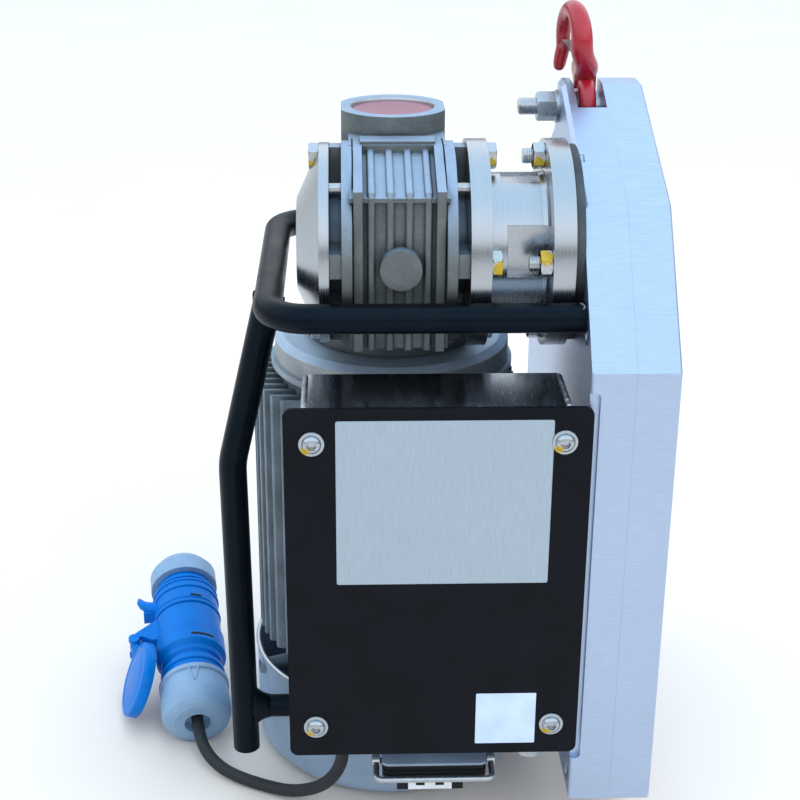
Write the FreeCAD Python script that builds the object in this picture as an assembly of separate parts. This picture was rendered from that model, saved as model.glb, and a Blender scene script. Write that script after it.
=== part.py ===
"""Portable electric wire-rope winch, in millimetres.

X runs to the right along the drive, Y to the back and Z up from the floor that the fan cowl stands on.
The motor stands upright on the left; its worm gearbox turns the traction sheave in the case on the right.
"""
import FreeCAD, Part
import math
import os

V = FreeCAD.Vector
AXES = {"X": V(1, 0, 0), "Y": V(0, 1, 0), "Z": V(0, 0, 1)}

# Fits and gaps
RUN_FIT = 0.05
SEAT_FIT = 0.03
CLEAR = 0.5

# Case: two shells with a shared side outline
CASE_LEFT = 130.0
CASE_LIFT = 48.0
CASE_DEPTH = 338.0
SHELL_LEFT = 29.5
SHELL_RIGHT = 29.0
CASE_WALL = 9.0
CASE_PLATE = 8.0
CASE_EDGE = 1.2
CASE_EDGE_TOP = 3.0
REBATE_WIDE = 6.5
REBATE_DEEP = 4.0
REBATE_OVER = 8.0
REBATE_ROUND = 3.0
FRONT_HEIGHT = 329.0
FACET1_RUN = 73.0
FACET1_RISE = 91.5
FACET2_RUN = 132.0
FACET2_RISE = 54.5
LUG_TOP = 22.0
LUG_BACK_RUN = 8.0
LUG_BACK_DROP = 37.0
BACK_FACET_DROP = 65.0
SCREW_INSET = 14.0
SCREW_BOSS = 9.0
SCREW_SHANK = 4.0
SCREW_HEAD = 6.5
SCREW_HEAD_DEEP = 8.0
PILOT_HOLE = 2.5
PILOT_PITCH = 9.0

# Suspension bolt, hook and latch
BOLT_SHANK = 6.0
BOLT_HEAD = 10.0
BOLT_SOCKET = 10.0
BOLT_HEAD_DEEP = 9.5
BOLT_BELOW_TOP = 19.0
BOLT_TAIL = 13.5
NUT_ACROSS = 19.0
NUT_HIGH = 14.0
WASHER = 12.0
WASHER_THICK = 2.5
LUG_EAR = 8.5
SLOT_FRONT_GAP = 40.0
SLOT_BELOW_EYE = 4.0
EYE_OUTER = 22.0
EYE_THICK = 13.0
BOWL_RISE = 48.0
BOWL_BACK = 6.0
BOWL_RADIUS = 21.0
BOWL_ROOT = 9.0
BOWL_TIP = 5.0
BOWL_START = 250.0
BOWL_END = -25.0
BOWL_NEAR_SHIFT = 6.0
BOWL_FAR_SHIFT = 8.0
BOWL_NEAR_SHARE = 0.25
BOWL_FAR_SHARE = 0.9
LATCH_Y = 14.0
LATCH_Z = 26.0
LATCH_PIN = 2.0
LATCH_KNUCKLE = 4.0
LATCH_WIDE = 10.0
LATCH_LONG = 20.0
LATCH_STEM = 6.0
LATCH_SKEW = 11.0
LATCH_SHEET = 2.4
LATCH_EAR = 2.6

# Drive line: output shaft axis and motor axis
DRIVE_Y = 117.0
DRIVE_Z = 430.0
MOTOR_X = 6.3
WORM_OFFSET = 55.0
SHAFT = 12.5
GEAR_MODULE = 4.0
PINION_TEETH = 18
GEAR_TEETH = 52
GEAR_FACE = 14.0
GEAR_BACKLASH = 0.5
SHEAVE_PITCH = 100.0
SHEAVE_RIM = 5.0
SHEAVE_WIDE = 18.0
ROPE = 6.8
AXLE = 15.0
SHEAVE_SIDE = 2.0

# Rope guides under the case
DEAD_END_BACK = 25.0
GUIDE_BORE = 4.5
GUIDE_OUTER = 10.0
GUIDE_LONG = 26.0
GUIDE_FLANGE = 14.0
GUIDE_FLANGE_THICK = 4.0
STRIKER_DROP = 9.0
STRIKER_FLANGE = 16.0
STRIKER_THICK = 5.0
STRIKER_COLLAR = 13.0
STRIKER_COLLAR_THICK = 4.0

# Pressure arm and roller
ROLLER = 18.0
ROLLER_WIDE = 6.4
ARM_PIN = 6.0
ARM_PIN_BACK = 45.0
ARM_PIN_RISE = 60.0
ARM_SHEET = 4.0
ARM_EYE = 11.0
ROLLER_PIN = 4.0

# Worm gearbox
BODY_TO_LEFT = 36.4
BODY_TO_RIGHT = 39.9
BODY_FRONT = 61.0
BODY_TOP = 70.0
BODY_BOTTOM = 58.0
BODY_SHOULDER = 52.0
RECESS = 7.0
RECESS_LIP = 4.0
RECESS_SHOULDER = 47.0
RECESS_DROP = 5.5
LINTEL_FRONT = 6.0
RAIL_WIDE = 6.0
PARTING = 0.9
PARTING_DEEP = 4.0
RIM_RING = 70.0
RIM_RING_WIDE = 7.0
RIB_WIDE = 5.0
RIB_PROUD = 4.5
RIB_ROUND = 1.8
RIB_MID_SHIFT = 1.9
RIB_COUNT = 4
RIB_SPAN = 37.5
BOSS = 14.0
BOSS_PROUD = 4.0
BOSS_RISE = 0.0
BOSS_SHIFT = 2.7
PAD_PLATE_FRONT = 5.0
PAD_PLATE_DEEP = 17.0
PAD_PLATE_HIGH = 2.0
WINDOW = 8.3
WINDOW_HUB = 34.0
WEB_WIDE = 16.0
WEB_COUNT = 4
FLANGE = 71.5
CAP_PLATE = 69.0
FLANGE_TURN = -3.0
FLANGE_BOLTS = 60.5
CAP_FLANGE = 6.8
CONE_LONG = 15.5
CONE_SMALL = 32.0
OUTPUT_FLANGE = 14.0
BELL_FLANGE = 15.0
BELL_NECK = 48.5
BELL_BORE = 34.0
BELL_SPIGOT = 6.5
BELL_SPIGOT_RADIUS = 67.5
BELL_WINDOW = 28.0
BELL_WINDOW_FLOOR = 41.5
BELL_WINDOW_LOW = 10.0
BELL_WINDOW_HIGH = 24.0
BELL_FLARE = 2.0
BELL_FLAT = 2.5
M10 = 5.0
HEX_M10 = 16.0
HEAD_M10 = 7.0
STUD_TAIL = 7.0
STUD_TURN = 37.0
BEARING = 27.0
BEARING_WIDE = 14.0
WHEEL_CAVITY = 43.0
WHEEL_CAVITY_HALF = 26.0
WHEEL_FACE = 26.0
WHEEL_HUB = 22.0
WHEEL_TEETH = 30
WORM = 15.0
WORM_LONG = 70.0
WORM_BORE = 18.0
WORM_PITCH = 8.0
COLUMN = 39.0
COLLAR_TOP = 514.0
COLLAR_FLATS = 36.4
COLLAR_BORE = 30.0
COLLAR_DEEP = 10.0
CAP_THICK = 5.0
FOOT = 62.0
FOOT_THICK = 12.0
FOOT_TURN = 20.0
FOOT_SCREW = 4.0
FOOT_SCREW_DEEP = 10.0
FOOT_HEX = 13.0
FOOT_HEAD = 5.5

# Motor
SHIELD_DROP = 83.0
SHIELD_HIGH = 27.0
SHIELD = 87.0
SHIELD_LIP = 4.0
CORE = 84.0
CORE_WALL = 6.0
HOUSING_BOTTOM = 92.0
FIN_TIP = 104.0
FIN_CASE_SIDE = 91.0
FIN_THICK = 3.2
FIN_PITCH = 11.0
FIN_END_GAP = 4.0
FIN_FOOT_GAP = 14.0
PAD_HALF = 44.0
PAD_HIGH = 130.0
PAD_LIFT = 150.0
STATOR_BORE = 50.0
STATOR_HIGH = 120.0
AIR_GAP = 0.6
ROTOR_SHAFT = 12.0
NDE_HIGH = 22.0
COWL = 107.0
COWL_SHEET = 2.0
COWL_HIGH = 87.0
COWL_ROUND = 16.0
COWL_SLOT = 6.0
COWL_SPOKE = 9.0
COWL_SCREW = 3.0
COWL_SCREW_TURN = 20.0
FAN = 88.0
FAN_HUB = 17.0
FAN_BLADES = 9
FAN_LIFT = 32.0
FAN_HIGH = 24.0
FAN_SHEET = 2.5

# Electrical box
BOX_CASE_GAP = 11.6
BOX_WIDE = 174.8
BOX_DEEP = 64.0
BOX_LOW = 89.0
BOX_HIGH = 264.0
BOX_SHEET = 2.0
BOX_RIM = 10.0
COVER_OVER_LEFT = 12.5
COVER_OVER_RIGHT = 14.2
COVER_LOW = 90.8
COVER_HIGH = 264.4
COVER_THICK = 3.0
COVER_ROUND = 6.0
COVER_SCREW_SIDE = 18.4
COVER_SCREW_END = 24.0
COVER_SCREW = 4.0
COVER_HEAD = 8.2
COVER_HEAD_HIGH = 4.6
COVER_SCREW_LONG = 13.0
COVER_SOCKET = 2.8
HOOD_SHIFT = 3.0
HOOD_WIDE = 76.0
HOOD_MID_Y = 30.0
HOOD_DEEP = 32.0
HOOD_HIGH = 32.0
HOOD_NECK_WIDE = 60.0
HOOD_NECK_FRONT = 13.0
HOOD_SHOULDER = 19.0
HOOD_PLATE = 2.0
RIDGE = 1.4
HOOD_ROUND = 5.0
INSERT_WIDE = 48.0
INSERT_DEEP = 24.0
INSERT_HIGH = 12.0
INSERT_SHIFT = -2.8
SOCKET = 6.4
CONTACT_WIDE = 32.0
LEVER_WIRE = 2.2
LEVER_REACH = 21.0
LEVER_DROP = 2.0
LEVER_PIVOT_DROP = 27.0
LEVER_EYE_HALF = 2.9
BLIND_INSET = 16.4
BLIND_Y = 16.0
BLIND_ACROSS = 16.0
BLIND_HIGH = 8.0
BLIND_COLLAR = 9.5
GLAND_INSET = 24.4
GLAND_Y = 46.0
GLAND_ACROSS = 22.0
GLAND_NUT = 12.0
GLAND_DOME = 8.0

# Carrying bar, guard tube and its stay
BAR = 10.0
BAR_Z = 401.3
BAR_FRONT_Y = 40.0
BAR_BACK_Y = 272.0
BAR_SIDE_X = -80.0
BAR_BEND = 28.0
GUARD_Y = 90.0
GUARD_X = -109.3
GUARD_FOOT_X = -106.5
GUARD_BEND_Z = 276.0
GUARD_FOOT_Z = 34.5
GUARD_BEND = 60.0
GUARD_WALL = 2.5
STAY = 8.5
STAY_Z = 71.0

# Supply cord with its plug and coupler, lying beside the guard tube
CORD = 4.8
PLUG_FRONT = (-149.0, 138.0, 23.0)
PLUG_BACK = (-178.5, 327.0, 75.0)
NUT_LONG = 40.0
NUT_WIDE = 28.5
NUT_MOUTH = 10.5
NUT_MOUTH_DEEP = 8.0
PLUG_LONG = 42.0
PLUG_BODY = 25.0
PLUG_RING = 29.0
COUPLER_LONG = 70.0
COUPLER_BODY = 27.5
TOP_NUT_LONG = 26.0
LID = 28.0
LID_THICK = 7.0
LID_WALL = 1.6
LID_PIN = 2.0
LID_OUT = 46.0
LID_BACK = 8.0
LID_SPLAY = 6.0
LID_GAP = 4.0
WING_HIGH = 22.0
WING_LONG = 18.0


def cylinder(axis, radius, start, end, a, b):
    """Round bar along an axis; a and b are its two other coordinates, in X, Y, Z order."""
    foot = {"X": V(start, a, b), "Y": V(a, start, b), "Z": V(a, b, start)}[axis]
    return Part.makeCylinder(radius, end - start, foot, AXES[axis])


def sleeve(axis, outer, inner, start, end, a, b):
    return cylinder(axis, outer, start, end, a, b).cut(cylinder(axis, inner, start, end, a, b))


def turned(axis, profile, a, b):
    """Solid of revolution from (position, radius) pairs along an axis."""
    if axis == "X":
        points = [V(place, a, b + radius) for place, radius in profile]
        foot = V(0, a, b)
    else:
        points = [V(a + radius, b, place) for place, radius in profile]
        foot = V(a, b, 0)
    face = Part.Face(Part.makePolygon(points + points[:1]))
    return face.revolve(foot, AXES[axis], 360)


def block(x0, x1, y0, y1, z0, z1):
    return Part.makeBox(x1 - x0, y1 - y0, z1 - z0, V(x0, y0, z0))


def side_plate(points, x0, x1):
    """Plate with its outline given as (Y, Z) points, between two X positions."""
    corners = [V(x0, y, z) for y, z in points]
    return Part.Face(Part.makePolygon(corners + corners[:1])).extrude(V(x1 - x0, 0, 0))


def hexagon(axis, across, start, end, a, b):
    """Hexagonal bar along X or Z."""
    radius = across / math.sqrt(3)
    turns = [math.radians(60 * i + 30) for i in range(6)]
    pairs = [(a + radius * math.cos(t), b + radius * math.sin(t)) for t in turns]
    if axis == "X":
        points = [V(start, p, q) for p, q in pairs]
    else:
        points = [V(p, q, start) for p, q in pairs]
    return Part.Face(Part.makePolygon(points + points[:1])).extrude(AXES[axis] * (end - start))


def hex_head(axis, across, start, end, a, b):
    """Hexagon with its corners turned off at both ends."""
    corner = across / math.sqrt(3) + 0.1
    slope = 0.06 * across
    crown = turned(axis, [
        (start, 0),
        (start, across / 2),
        (start + slope, corner),
        (end - slope, corner),
        (end, across / 2),
        (end, 0),
    ], a, b)
    return hexagon(axis, across, start, end, a, b).common(crown)


def fused(shapes):
    first, rest = shapes[0], list(shapes[1:])
    if not rest:
        return first
    return first.multiFuse(rest).removeSplitter()


def cut_all(shape, tools):
    return shape.cut(Part.makeCompound(tools)).removeSplitter()


def softened(shape, radius, wanted):
    """Rounds the edges that the test picks."""
    edges = [edge for edge in shape.Edges if wanted(edge)]
    return shape.makeFillet(radius, edges)


def on_circle(radius, count, start=0.0):
    """(cosine, sine) places on a circle."""
    turns = [math.radians(start + 360.0 * i / count) for i in range(count)]
    return [(radius * math.cos(t), radius * math.sin(t)) for t in turns]


def bent_path(points, bends):
    """Straight runs joined by tangent arcs, one bend radius for each inner point."""
    edges = []
    last = points[0]
    for i in range(1, len(points) - 1):
        back = (points[i - 1] - points[i]).normalize()
        ahead = (points[i + 1] - points[i]).normalize()
        turn = math.pi - back.getAngle(ahead)
        trim = bends[i - 1] * math.tan(turn / 2)
        start = points[i] + back * trim
        end = points[i] + ahead * trim
        bisector = (back + ahead).normalize()
        centre = points[i] + bisector * (bends[i - 1] / math.cos(turn / 2))
        middle = centre - bisector * bends[i - 1]
        edges.append(Part.LineSegment(last, start).toShape())
        edges.append(Part.Arc(start, middle, end).toShape())
        last = end
    edges.append(Part.LineSegment(last, points[-1]).toShape())
    return Part.Wire(edges)


def swept(path, radius):
    """Round bar along a path."""
    start = path.Edges[0]
    foot = start.valueAt(start.FirstParameter)
    along = start.tangentAt(start.FirstParameter)
    ring = Part.Wire(Part.makeCircle(radius, foot, along))
    return path.makePipeShell([ring], True, True)


def gear_profile(teeth, tooth_half_turn, first_turn):
    """Closed outline of a spur gear with involute flanks: (cosine, sine) pairs."""
    pressure = math.radians(20)
    pitch = GEAR_MODULE * teeth / 2
    base = pitch * math.cos(pressure)
    tip = pitch + 0.8 * GEAR_MODULE
    root = pitch - 1.05 * GEAR_MODULE
    flank = [max(base, root + 0.3), pitch, tip]
    rolled = math.tan(pressure) - pressure
    pairs = []
    for i in range(teeth):
        middle = first_turn + 2 * math.pi * i / teeth
        widths = []
        for radius in flank:
            angle = math.acos(min(1.0, base / radius))
            widths.append((radius, tooth_half_turn + rolled - (math.tan(angle) - angle)))
        left = [(root, widths[0][1])] + widths
        for radius, half in left:
            pairs.append((radius * math.cos(middle - half), radius * math.sin(middle - half)))
        for radius, half in reversed(left):
            pairs.append((radius * math.cos(middle + half), radius * math.sin(middle + half)))
    return pairs


def gear(teeth, first_turn, x0, x1, y, z):
    thinned = GEAR_BACKLASH / 2 / (GEAR_MODULE * teeth / 2)
    outline = gear_profile(teeth, math.pi / 2 / teeth - thinned, first_turn)
    return side_plate([(y + p, z + q) for p, q in outline], x0, x1)


parts = {}

# Places that several pieces share
seam = CASE_LEFT + SHELL_LEFT
case_right = seam + SHELL_RIGHT
back_height = FRONT_HEIGHT + FACET1_RISE + FACET2_RISE - LUG_BACK_DROP - BACK_FACET_DROP
lug_front = FACET1_RUN + FACET2_RUN
lug_height = FRONT_HEIGHT + FACET1_RISE + FACET2_RISE
case_outline = [
    (0, 0),
    (0, FRONT_HEIGHT),
    (FACET1_RUN, FRONT_HEIGHT + FACET1_RISE),
    (lug_front, lug_height),
    (lug_front + LUG_TOP, lug_height),
    (lug_front + LUG_TOP + LUG_BACK_RUN, lug_height - LUG_BACK_DROP),
    (CASE_DEPTH, back_height),
    (CASE_DEPTH, 0),
]
case_outline = [(y, z + CASE_LIFT) for y, z in case_outline]
screw_places = [
    (SCREW_INSET, SCREW_INSET),
    (0.27 * CASE_DEPTH, SCREW_INSET),
    (0.78 * CASE_DEPTH, SCREW_INSET),
    (CASE_DEPTH - SCREW_INSET, SCREW_INSET),
    (CASE_DEPTH - SCREW_INSET, back_height / 2),
    (CASE_DEPTH - SCREW_INSET, back_height - 1.4 * SCREW_INSET),
    (FACET1_RUN + 0.58 * FACET2_RUN, FRONT_HEIGHT + FACET1_RISE + 0.08 * FACET2_RISE),
    (0.41 * FACET1_RUN, FRONT_HEIGHT + 0.17 * FACET1_RISE),
]
screw_places = [(y, z + CASE_LIFT) for y, z in screw_places]

gear_centre = GEAR_MODULE * (PINION_TEETH + GEAR_TEETH) / 2
sheave_y = DRIVE_Y
sheave_z = DRIVE_Z - gear_centre
load_line = sheave_y + SHEAVE_PITCH
dead_line = sheave_y + DEAD_END_BACK
bolt_y = load_line
bolt_z = CASE_LIFT + lug_height - BOLT_BELOW_TOP
slot_left = CASE_LEFT + LUG_EAR
slot_floor = bolt_z - EYE_OUTER - SLOT_BELOW_EYE
slot_front = bolt_y - SLOT_FRONT_GAP
hook_x = (slot_left + seam) / 2
cavity_left = CASE_LEFT + CASE_PLATE
cavity_right = case_right - CASE_PLATE
sheave_left = hook_x - SHEAVE_WIDE / 2
sheave_right = hook_x + SHEAVE_WIDE / 2
gear_left = sheave_right + SHEAVE_SIDE
gear_right = gear_left + GEAR_FACE
case_floor = CASE_LIFT
box_right = CASE_LEFT - BOX_CASE_GAP
box_left = box_right - BOX_WIDE
box_high = BOX_LOW + BOX_HIGH
cover_left = box_left - COVER_OVER_LEFT
cover_right = box_right + COVER_OVER_RIGHT
cover_high = COVER_LOW + COVER_HIGH
hood_mid_x = (box_left + box_right) / 2 + HOOD_SHIFT
blind_x = box_right - BLIND_INSET
gland_x = box_left + GLAND_INSET

motor_y = DRIVE_Y + WORM_OFFSET
shield_top = DRIVE_Z - SHIELD_DROP
body_left = MOTOR_X - BODY_TO_LEFT
body_right = MOTOR_X + BODY_TO_RIGHT
cap_face = body_left - WINDOW
output_face = body_right + WINDOW
output_right = output_face + OUTPUT_FLANGE
bell_right = CASE_LEFT - BELL_SPIGOT
bell_left = bell_right - BELL_FLANGE
bearing_left = cap_face + 2
bearing_right = output_face - 2 - BEARING_WIDE
shaft_start = cap_face + 1
shaft_end = case_right - 2.5
collar_ledge = COLLAR_TOP - COLLAR_DEEP
worm_bearing_low = collar_ledge - BEARING_WIDE
worm_bearing_seat = BEARING - 3


# Case shells
def case_slice(x0, x1):
    return side_plate(case_outline, x0, x1)


def case_cavity(x0, x1):
    """Room inside the shells, short of the lug and of the screw bosses."""
    corners = [V(x0, y, z) for y, z in case_outline]
    rim = Part.Face(Part.makePolygon(corners + corners[:1]))
    room = rim.makeOffset2D(-CASE_WALL, 2).extrude(V(x1 - x0, 0, 0))
    lug = block(x0, x1, slot_front - CASE_WALL, CASE_DEPTH, slot_floor - CASE_WALL, slot_floor + 200)
    bosses = [cylinder("X", SCREW_BOSS, x0, x1, y, z) for y, z in screw_places]
    return cut_all(room, [lug] + bosses)


def edge_on_plane(edge, x):
    box = edge.BoundBox
    return abs(box.XMin - x) < 0.01 and abs(box.XMax - x) < 0.01


left_blank = case_slice(CASE_LEFT, seam)
upper_edges = [
    e for e in left_blank.Edges
    if edge_on_plane(e, CASE_LEFT) and e.BoundBox.ZMin > CASE_LIFT + back_height - 1
    and e.BoundBox.ZMax > CASE_LIFT + FRONT_HEIGHT + 1
]
left_blank = left_blank.makeChamfer(CASE_EDGE_TOP, upper_edges)
lower_edges = [
    e for e in left_blank.Edges
    if edge_on_plane(e, CASE_LEFT) and e.BoundBox.ZMin < CASE_LIFT + 1
]
left_blank = left_blank.makeChamfer(CASE_EDGE, lower_edges)
left_tools = [case_cavity(cavity_left, seam)]
rebate = block(
    CASE_LEFT - 1, CASE_LEFT + REBATE_WIDE, -1, REBATE_DEEP,
    COVER_LOW - REBATE_OVER, cover_high + REBATE_OVER,
)
rebate = softened(
    rebate, REBATE_ROUND,
    lambda e: e.BoundBox.XMin > CASE_LEFT and abs(e.Length - REBATE_DEEP - 1) < 0.01,
)
left_tools.append(rebate)
left_tools.append(block(slot_left, seam, slot_front, CASE_DEPTH, slot_floor, slot_floor + 200))
left_tools.append(cylinder("X", BOLT_SHANK + 0.2, CASE_LEFT, seam, bolt_y, bolt_z))
left_tools.append(cylinder("X", SHAFT + 4, CASE_LEFT, seam, DRIVE_Y, DRIVE_Z))
left_tools.append(cylinder("X", AXLE + SEAT_FIT, CASE_LEFT + 2, seam, sheave_y, sheave_z))
left_tools.append(
    cylinder(
        "X", ARM_PIN + SEAT_FIT, CASE_LEFT + 2, seam, load_line + ARM_PIN_BACK, sheave_z + ARM_PIN_RISE
    )
)
left_tools.append(
    cylinder("Z", GUIDE_OUTER + SEAT_FIT, case_floor, case_floor + CASE_WALL, hook_x, dead_line)
)
left_tools.append(
    cylinder("Z", GUIDE_OUTER + RUN_FIT, case_floor, case_floor + CASE_WALL, hook_x, load_line)
)
for y, z in screw_places:
    left_tools.append(cylinder("X", SCREW_SHANK + 0.2, CASE_LEFT, seam, y, z))
    left_tools.append(cylinder("X", SCREW_HEAD + 0.2, CASE_LEFT, CASE_LEFT + SCREW_HEAD_DEEP, y, z))
for i in range(3):
    place = SCREW_INSET + SCREW_HEAD + PILOT_PITCH * (i + 0.5)
    left_tools.append(cylinder("X", PILOT_HOLE, CASE_LEFT, CASE_LEFT + 5, place, case_floor + SCREW_INSET))
for p, q in on_circle(FLANGE_BOLTS, 4, FLANGE_TURN):
    left_tools.append(cylinder("X", M10 + SEAT_FIT, CASE_LEFT, CASE_LEFT + 6.5, DRIVE_Y + p, DRIVE_Z + q))
parts["case_left_shell"] = cut_all(left_blank, left_tools)

right_blank = case_slice(seam, case_right)
right_blank = right_blank.makeChamfer(
    CASE_EDGE, [e for e in right_blank.Edges if edge_on_plane(e, case_right)]
)
right_tools = [case_cavity(seam, cavity_right)]
right_tools.append(cylinder("X", BOLT_SHANK + 0.2, seam, case_right, bolt_y, bolt_z))
right_tools.append(cylinder("X", BOLT_HEAD + 0.3, case_right - BOLT_HEAD_DEEP, case_right, bolt_y, bolt_z))
right_tools.append(cylinder("X", AXLE + SEAT_FIT, seam, case_right - 2, sheave_y, sheave_z))
right_tools.append(
    cylinder(
        "X", ARM_PIN + SEAT_FIT, seam, case_right - 2, load_line + ARM_PIN_BACK, sheave_z + ARM_PIN_RISE
    )
)
right_tools.append(cylinder("X", SHAFT + RUN_FIT, seam, case_right - 2, DRIVE_Y, DRIVE_Z))
for y, z in screw_places:
    right_tools.append(cylinder("X", SCREW_SHANK + SEAT_FIT, seam, seam + 16, y, z))
parts["case_right_shell"] = cut_all(right_blank, right_tools)

screws = []
for y, z in screw_places:
    head = cylinder("X", SCREW_HEAD, CASE_LEFT + 0.6, CASE_LEFT + SCREW_HEAD_DEEP, y, z)
    shank = cylinder("X", SCREW_SHANK, CASE_LEFT + SCREW_HEAD_DEEP, seam + 15, y, z)
    socket = hexagon("X", 6.0, CASE_LEFT + 0.6, CASE_LEFT + 4.6, y, z)
    screws.append(fused([head, shank]).cut(socket))
parts["case_screws"] = Part.makeCompound(screws)

# Suspension: bolt, nut with washer, spacers, hook and latch
bolt_end = CASE_LEFT - WASHER_THICK - NUT_HIGH - BOLT_TAIL
bolt_head_face = case_right - BOLT_HEAD_DEEP
bolt = turned("X", [
    (bolt_end, 0),
    (bolt_end, BOLT_SHANK - 1.5),
    (bolt_end + 1.5, BOLT_SHANK),
    (bolt_head_face, BOLT_SHANK),
    (bolt_head_face, BOLT_HEAD),
    (case_right - 0.5, BOLT_HEAD),
    (case_right - 0.5, 0),
], bolt_y, bolt_z)
bolt_socket = hexagon("X", BOLT_SOCKET, case_right - 6.5, case_right - 0.5, bolt_y, bolt_z)
parts["suspension_bolt"] = bolt.cut(bolt_socket)
nut_start = CASE_LEFT - WASHER_THICK - NUT_HIGH
nut = hexagon("X", NUT_ACROSS, nut_start, nut_start + NUT_HIGH, bolt_y, bolt_z)
crown = turned("X", [
    (nut_start, 0),
    (nut_start, NUT_ACROSS / 2),
    (nut_start + 2, NUT_ACROSS / 2 + 2),
    (nut_start + NUT_HIGH, NUT_ACROSS / 2 + 2),
    (nut_start + NUT_HIGH, 0),
], bolt_y, bolt_z)
washer = cylinder("X", WASHER, CASE_LEFT - WASHER_THICK, CASE_LEFT, bolt_y, bolt_z)
bolt_hole = cylinder("X", BOLT_SHANK + SEAT_FIT, nut_start, CASE_LEFT, bolt_y, bolt_z)
parts["suspension_nut"] = fused([nut.common(crown), washer]).cut(bolt_hole)

eye_left = hook_x - EYE_THICK / 2
eye_right = hook_x + EYE_THICK / 2
spacer_outer = BOLT_SHANK + 5
left_spacer = sleeve("X", spacer_outer, BOLT_SHANK + SEAT_FIT, slot_left, eye_left - 0.3, bolt_y, bolt_z)
right_spacer = sleeve("X", spacer_outer, BOLT_SHANK + SEAT_FIT, eye_right + 0.3, seam, bolt_y, bolt_z)
parts["hook_spacers"] = Part.makeCompound([left_spacer, right_spacer])

bowl_y = bolt_y + BOWL_BACK
bowl_z = bolt_z + BOWL_RISE
eye = cylinder("X", EYE_OUTER, eye_left, eye_right, bolt_y, bolt_z)
eye = eye.makeFillet(EYE_THICK * 0.42, [e for e in eye.Edges if e.Closed])
steps = 15


def eased(share):
    """Smooth step from 0 to 1."""
    share = max(0.0, min(1.0, share))
    return share * share * (3 - 2 * share)


rings = []
for i in range(steps):
    share = i / (steps - 1)
    turn = math.radians(BOWL_START + (BOWL_END - BOWL_START) * share)
    radius = BOWL_ROOT + (BOWL_TIP - BOWL_ROOT) * share
    aside = BOWL_NEAR_SHIFT * eased(share / BOWL_NEAR_SHARE)
    aside += BOWL_FAR_SHIFT * eased((share - BOWL_NEAR_SHARE) / (BOWL_FAR_SHARE - BOWL_NEAR_SHARE))
    place_y = bowl_y + BOWL_RADIUS * math.cos(turn)
    place_z = bowl_z + BOWL_RADIUS * math.sin(turn)
    centre = V(hook_x - aside, place_y, place_z)
    rings.append(Part.Wire(Part.makeCircle(radius, centre, V(0, -math.sin(turn), math.cos(turn)))))
bowl = Part.makeLoft(rings, True, False)
tip_turn = math.radians(BOWL_END)
tip_y = bowl_y + BOWL_RADIUS * math.cos(tip_turn)
tip_z = bowl_z + BOWL_RADIUS * math.sin(tip_turn)
tip_x = hook_x - BOWL_NEAR_SHIFT - BOWL_FAR_SHIFT
tip = Part.makeSphere(BOWL_TIP, V(tip_x, tip_y, tip_z))
latch_y = bolt_y + LATCH_Y
latch_z = bolt_z + LATCH_Z
ear_start = LATCH_WIDE / 2 + 0.4
ears = []
for side in (-1, 1):
    inner = hook_x + side * ear_start
    outer = hook_x + side * (ear_start + LATCH_EAR)
    low, high = min(inner, outer), max(inner, outer)
    ear = cylinder("X", LATCH_KNUCKLE + 0.5, low, high, latch_y, latch_z)
    arm = side_plate([
        (latch_y, latch_z - LATCH_KNUCKLE),
        (latch_y, latch_z + LATCH_KNUCKLE),
        (bolt_y, bolt_z + EYE_OUTER + BOWL_ROOT),
        (bolt_y, bolt_z + EYE_OUTER - BOWL_ROOT),
    ], low, high)
    ears.append(fused([ear, arm]))
hook = fused([eye, bowl, tip] + ears)
hook_bore = cylinder("X", BOLT_SHANK + RUN_FIT, eye_left - 5, eye_right + 5, bolt_y, bolt_z)
latch_pin_half = ear_start + LATCH_EAR
latch_pin = cylinder("X", LATCH_PIN, hook_x - latch_pin_half, hook_x + latch_pin_half, latch_y, latch_z)
parts["hook"] = fused([hook.cut(hook_bore), latch_pin])

reach = math.hypot(tip_y - latch_y, tip_z - latch_z)
latch_turn = math.atan2(tip_z - latch_z, tip_y - latch_y)
latch_turn += math.asin((BOWL_TIP + LATCH_SHEET / 2 + 0.3) / reach)
knuckle = cylinder("X", LATCH_KNUCKLE, hook_x - LATCH_WIDE / 2, hook_x + LATCH_WIDE / 2, latch_y, latch_z)
blade_half = LATCH_WIDE / 2
blade_outline = [
    V(hook_x - blade_half, 0, -LATCH_SHEET / 2),
    V(hook_x + blade_half, 0, -LATCH_SHEET / 2),
    V(hook_x + blade_half, LATCH_STEM, -LATCH_SHEET / 2),
    V(hook_x + blade_half - LATCH_SKEW, LATCH_LONG, -LATCH_SHEET / 2),
    V(hook_x - blade_half - LATCH_SKEW, LATCH_LONG, -LATCH_SHEET / 2),
    V(hook_x - blade_half, LATCH_STEM, -LATCH_SHEET / 2),
]
blade = Part.Face(Part.makePolygon(blade_outline + blade_outline[:1])).extrude(V(0, 0, LATCH_SHEET))
blade.rotate(V(0, 0, 0), V(1, 0, 0), math.degrees(latch_turn))
blade.translate(V(0, latch_y, latch_z))
latch_bore = cylinder("X", LATCH_PIN + RUN_FIT, hook_x - 20, hook_x + 20, latch_y, latch_z)
parts["hook_latch"] = fused([knuckle, blade]).cut(latch_bore)

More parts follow.
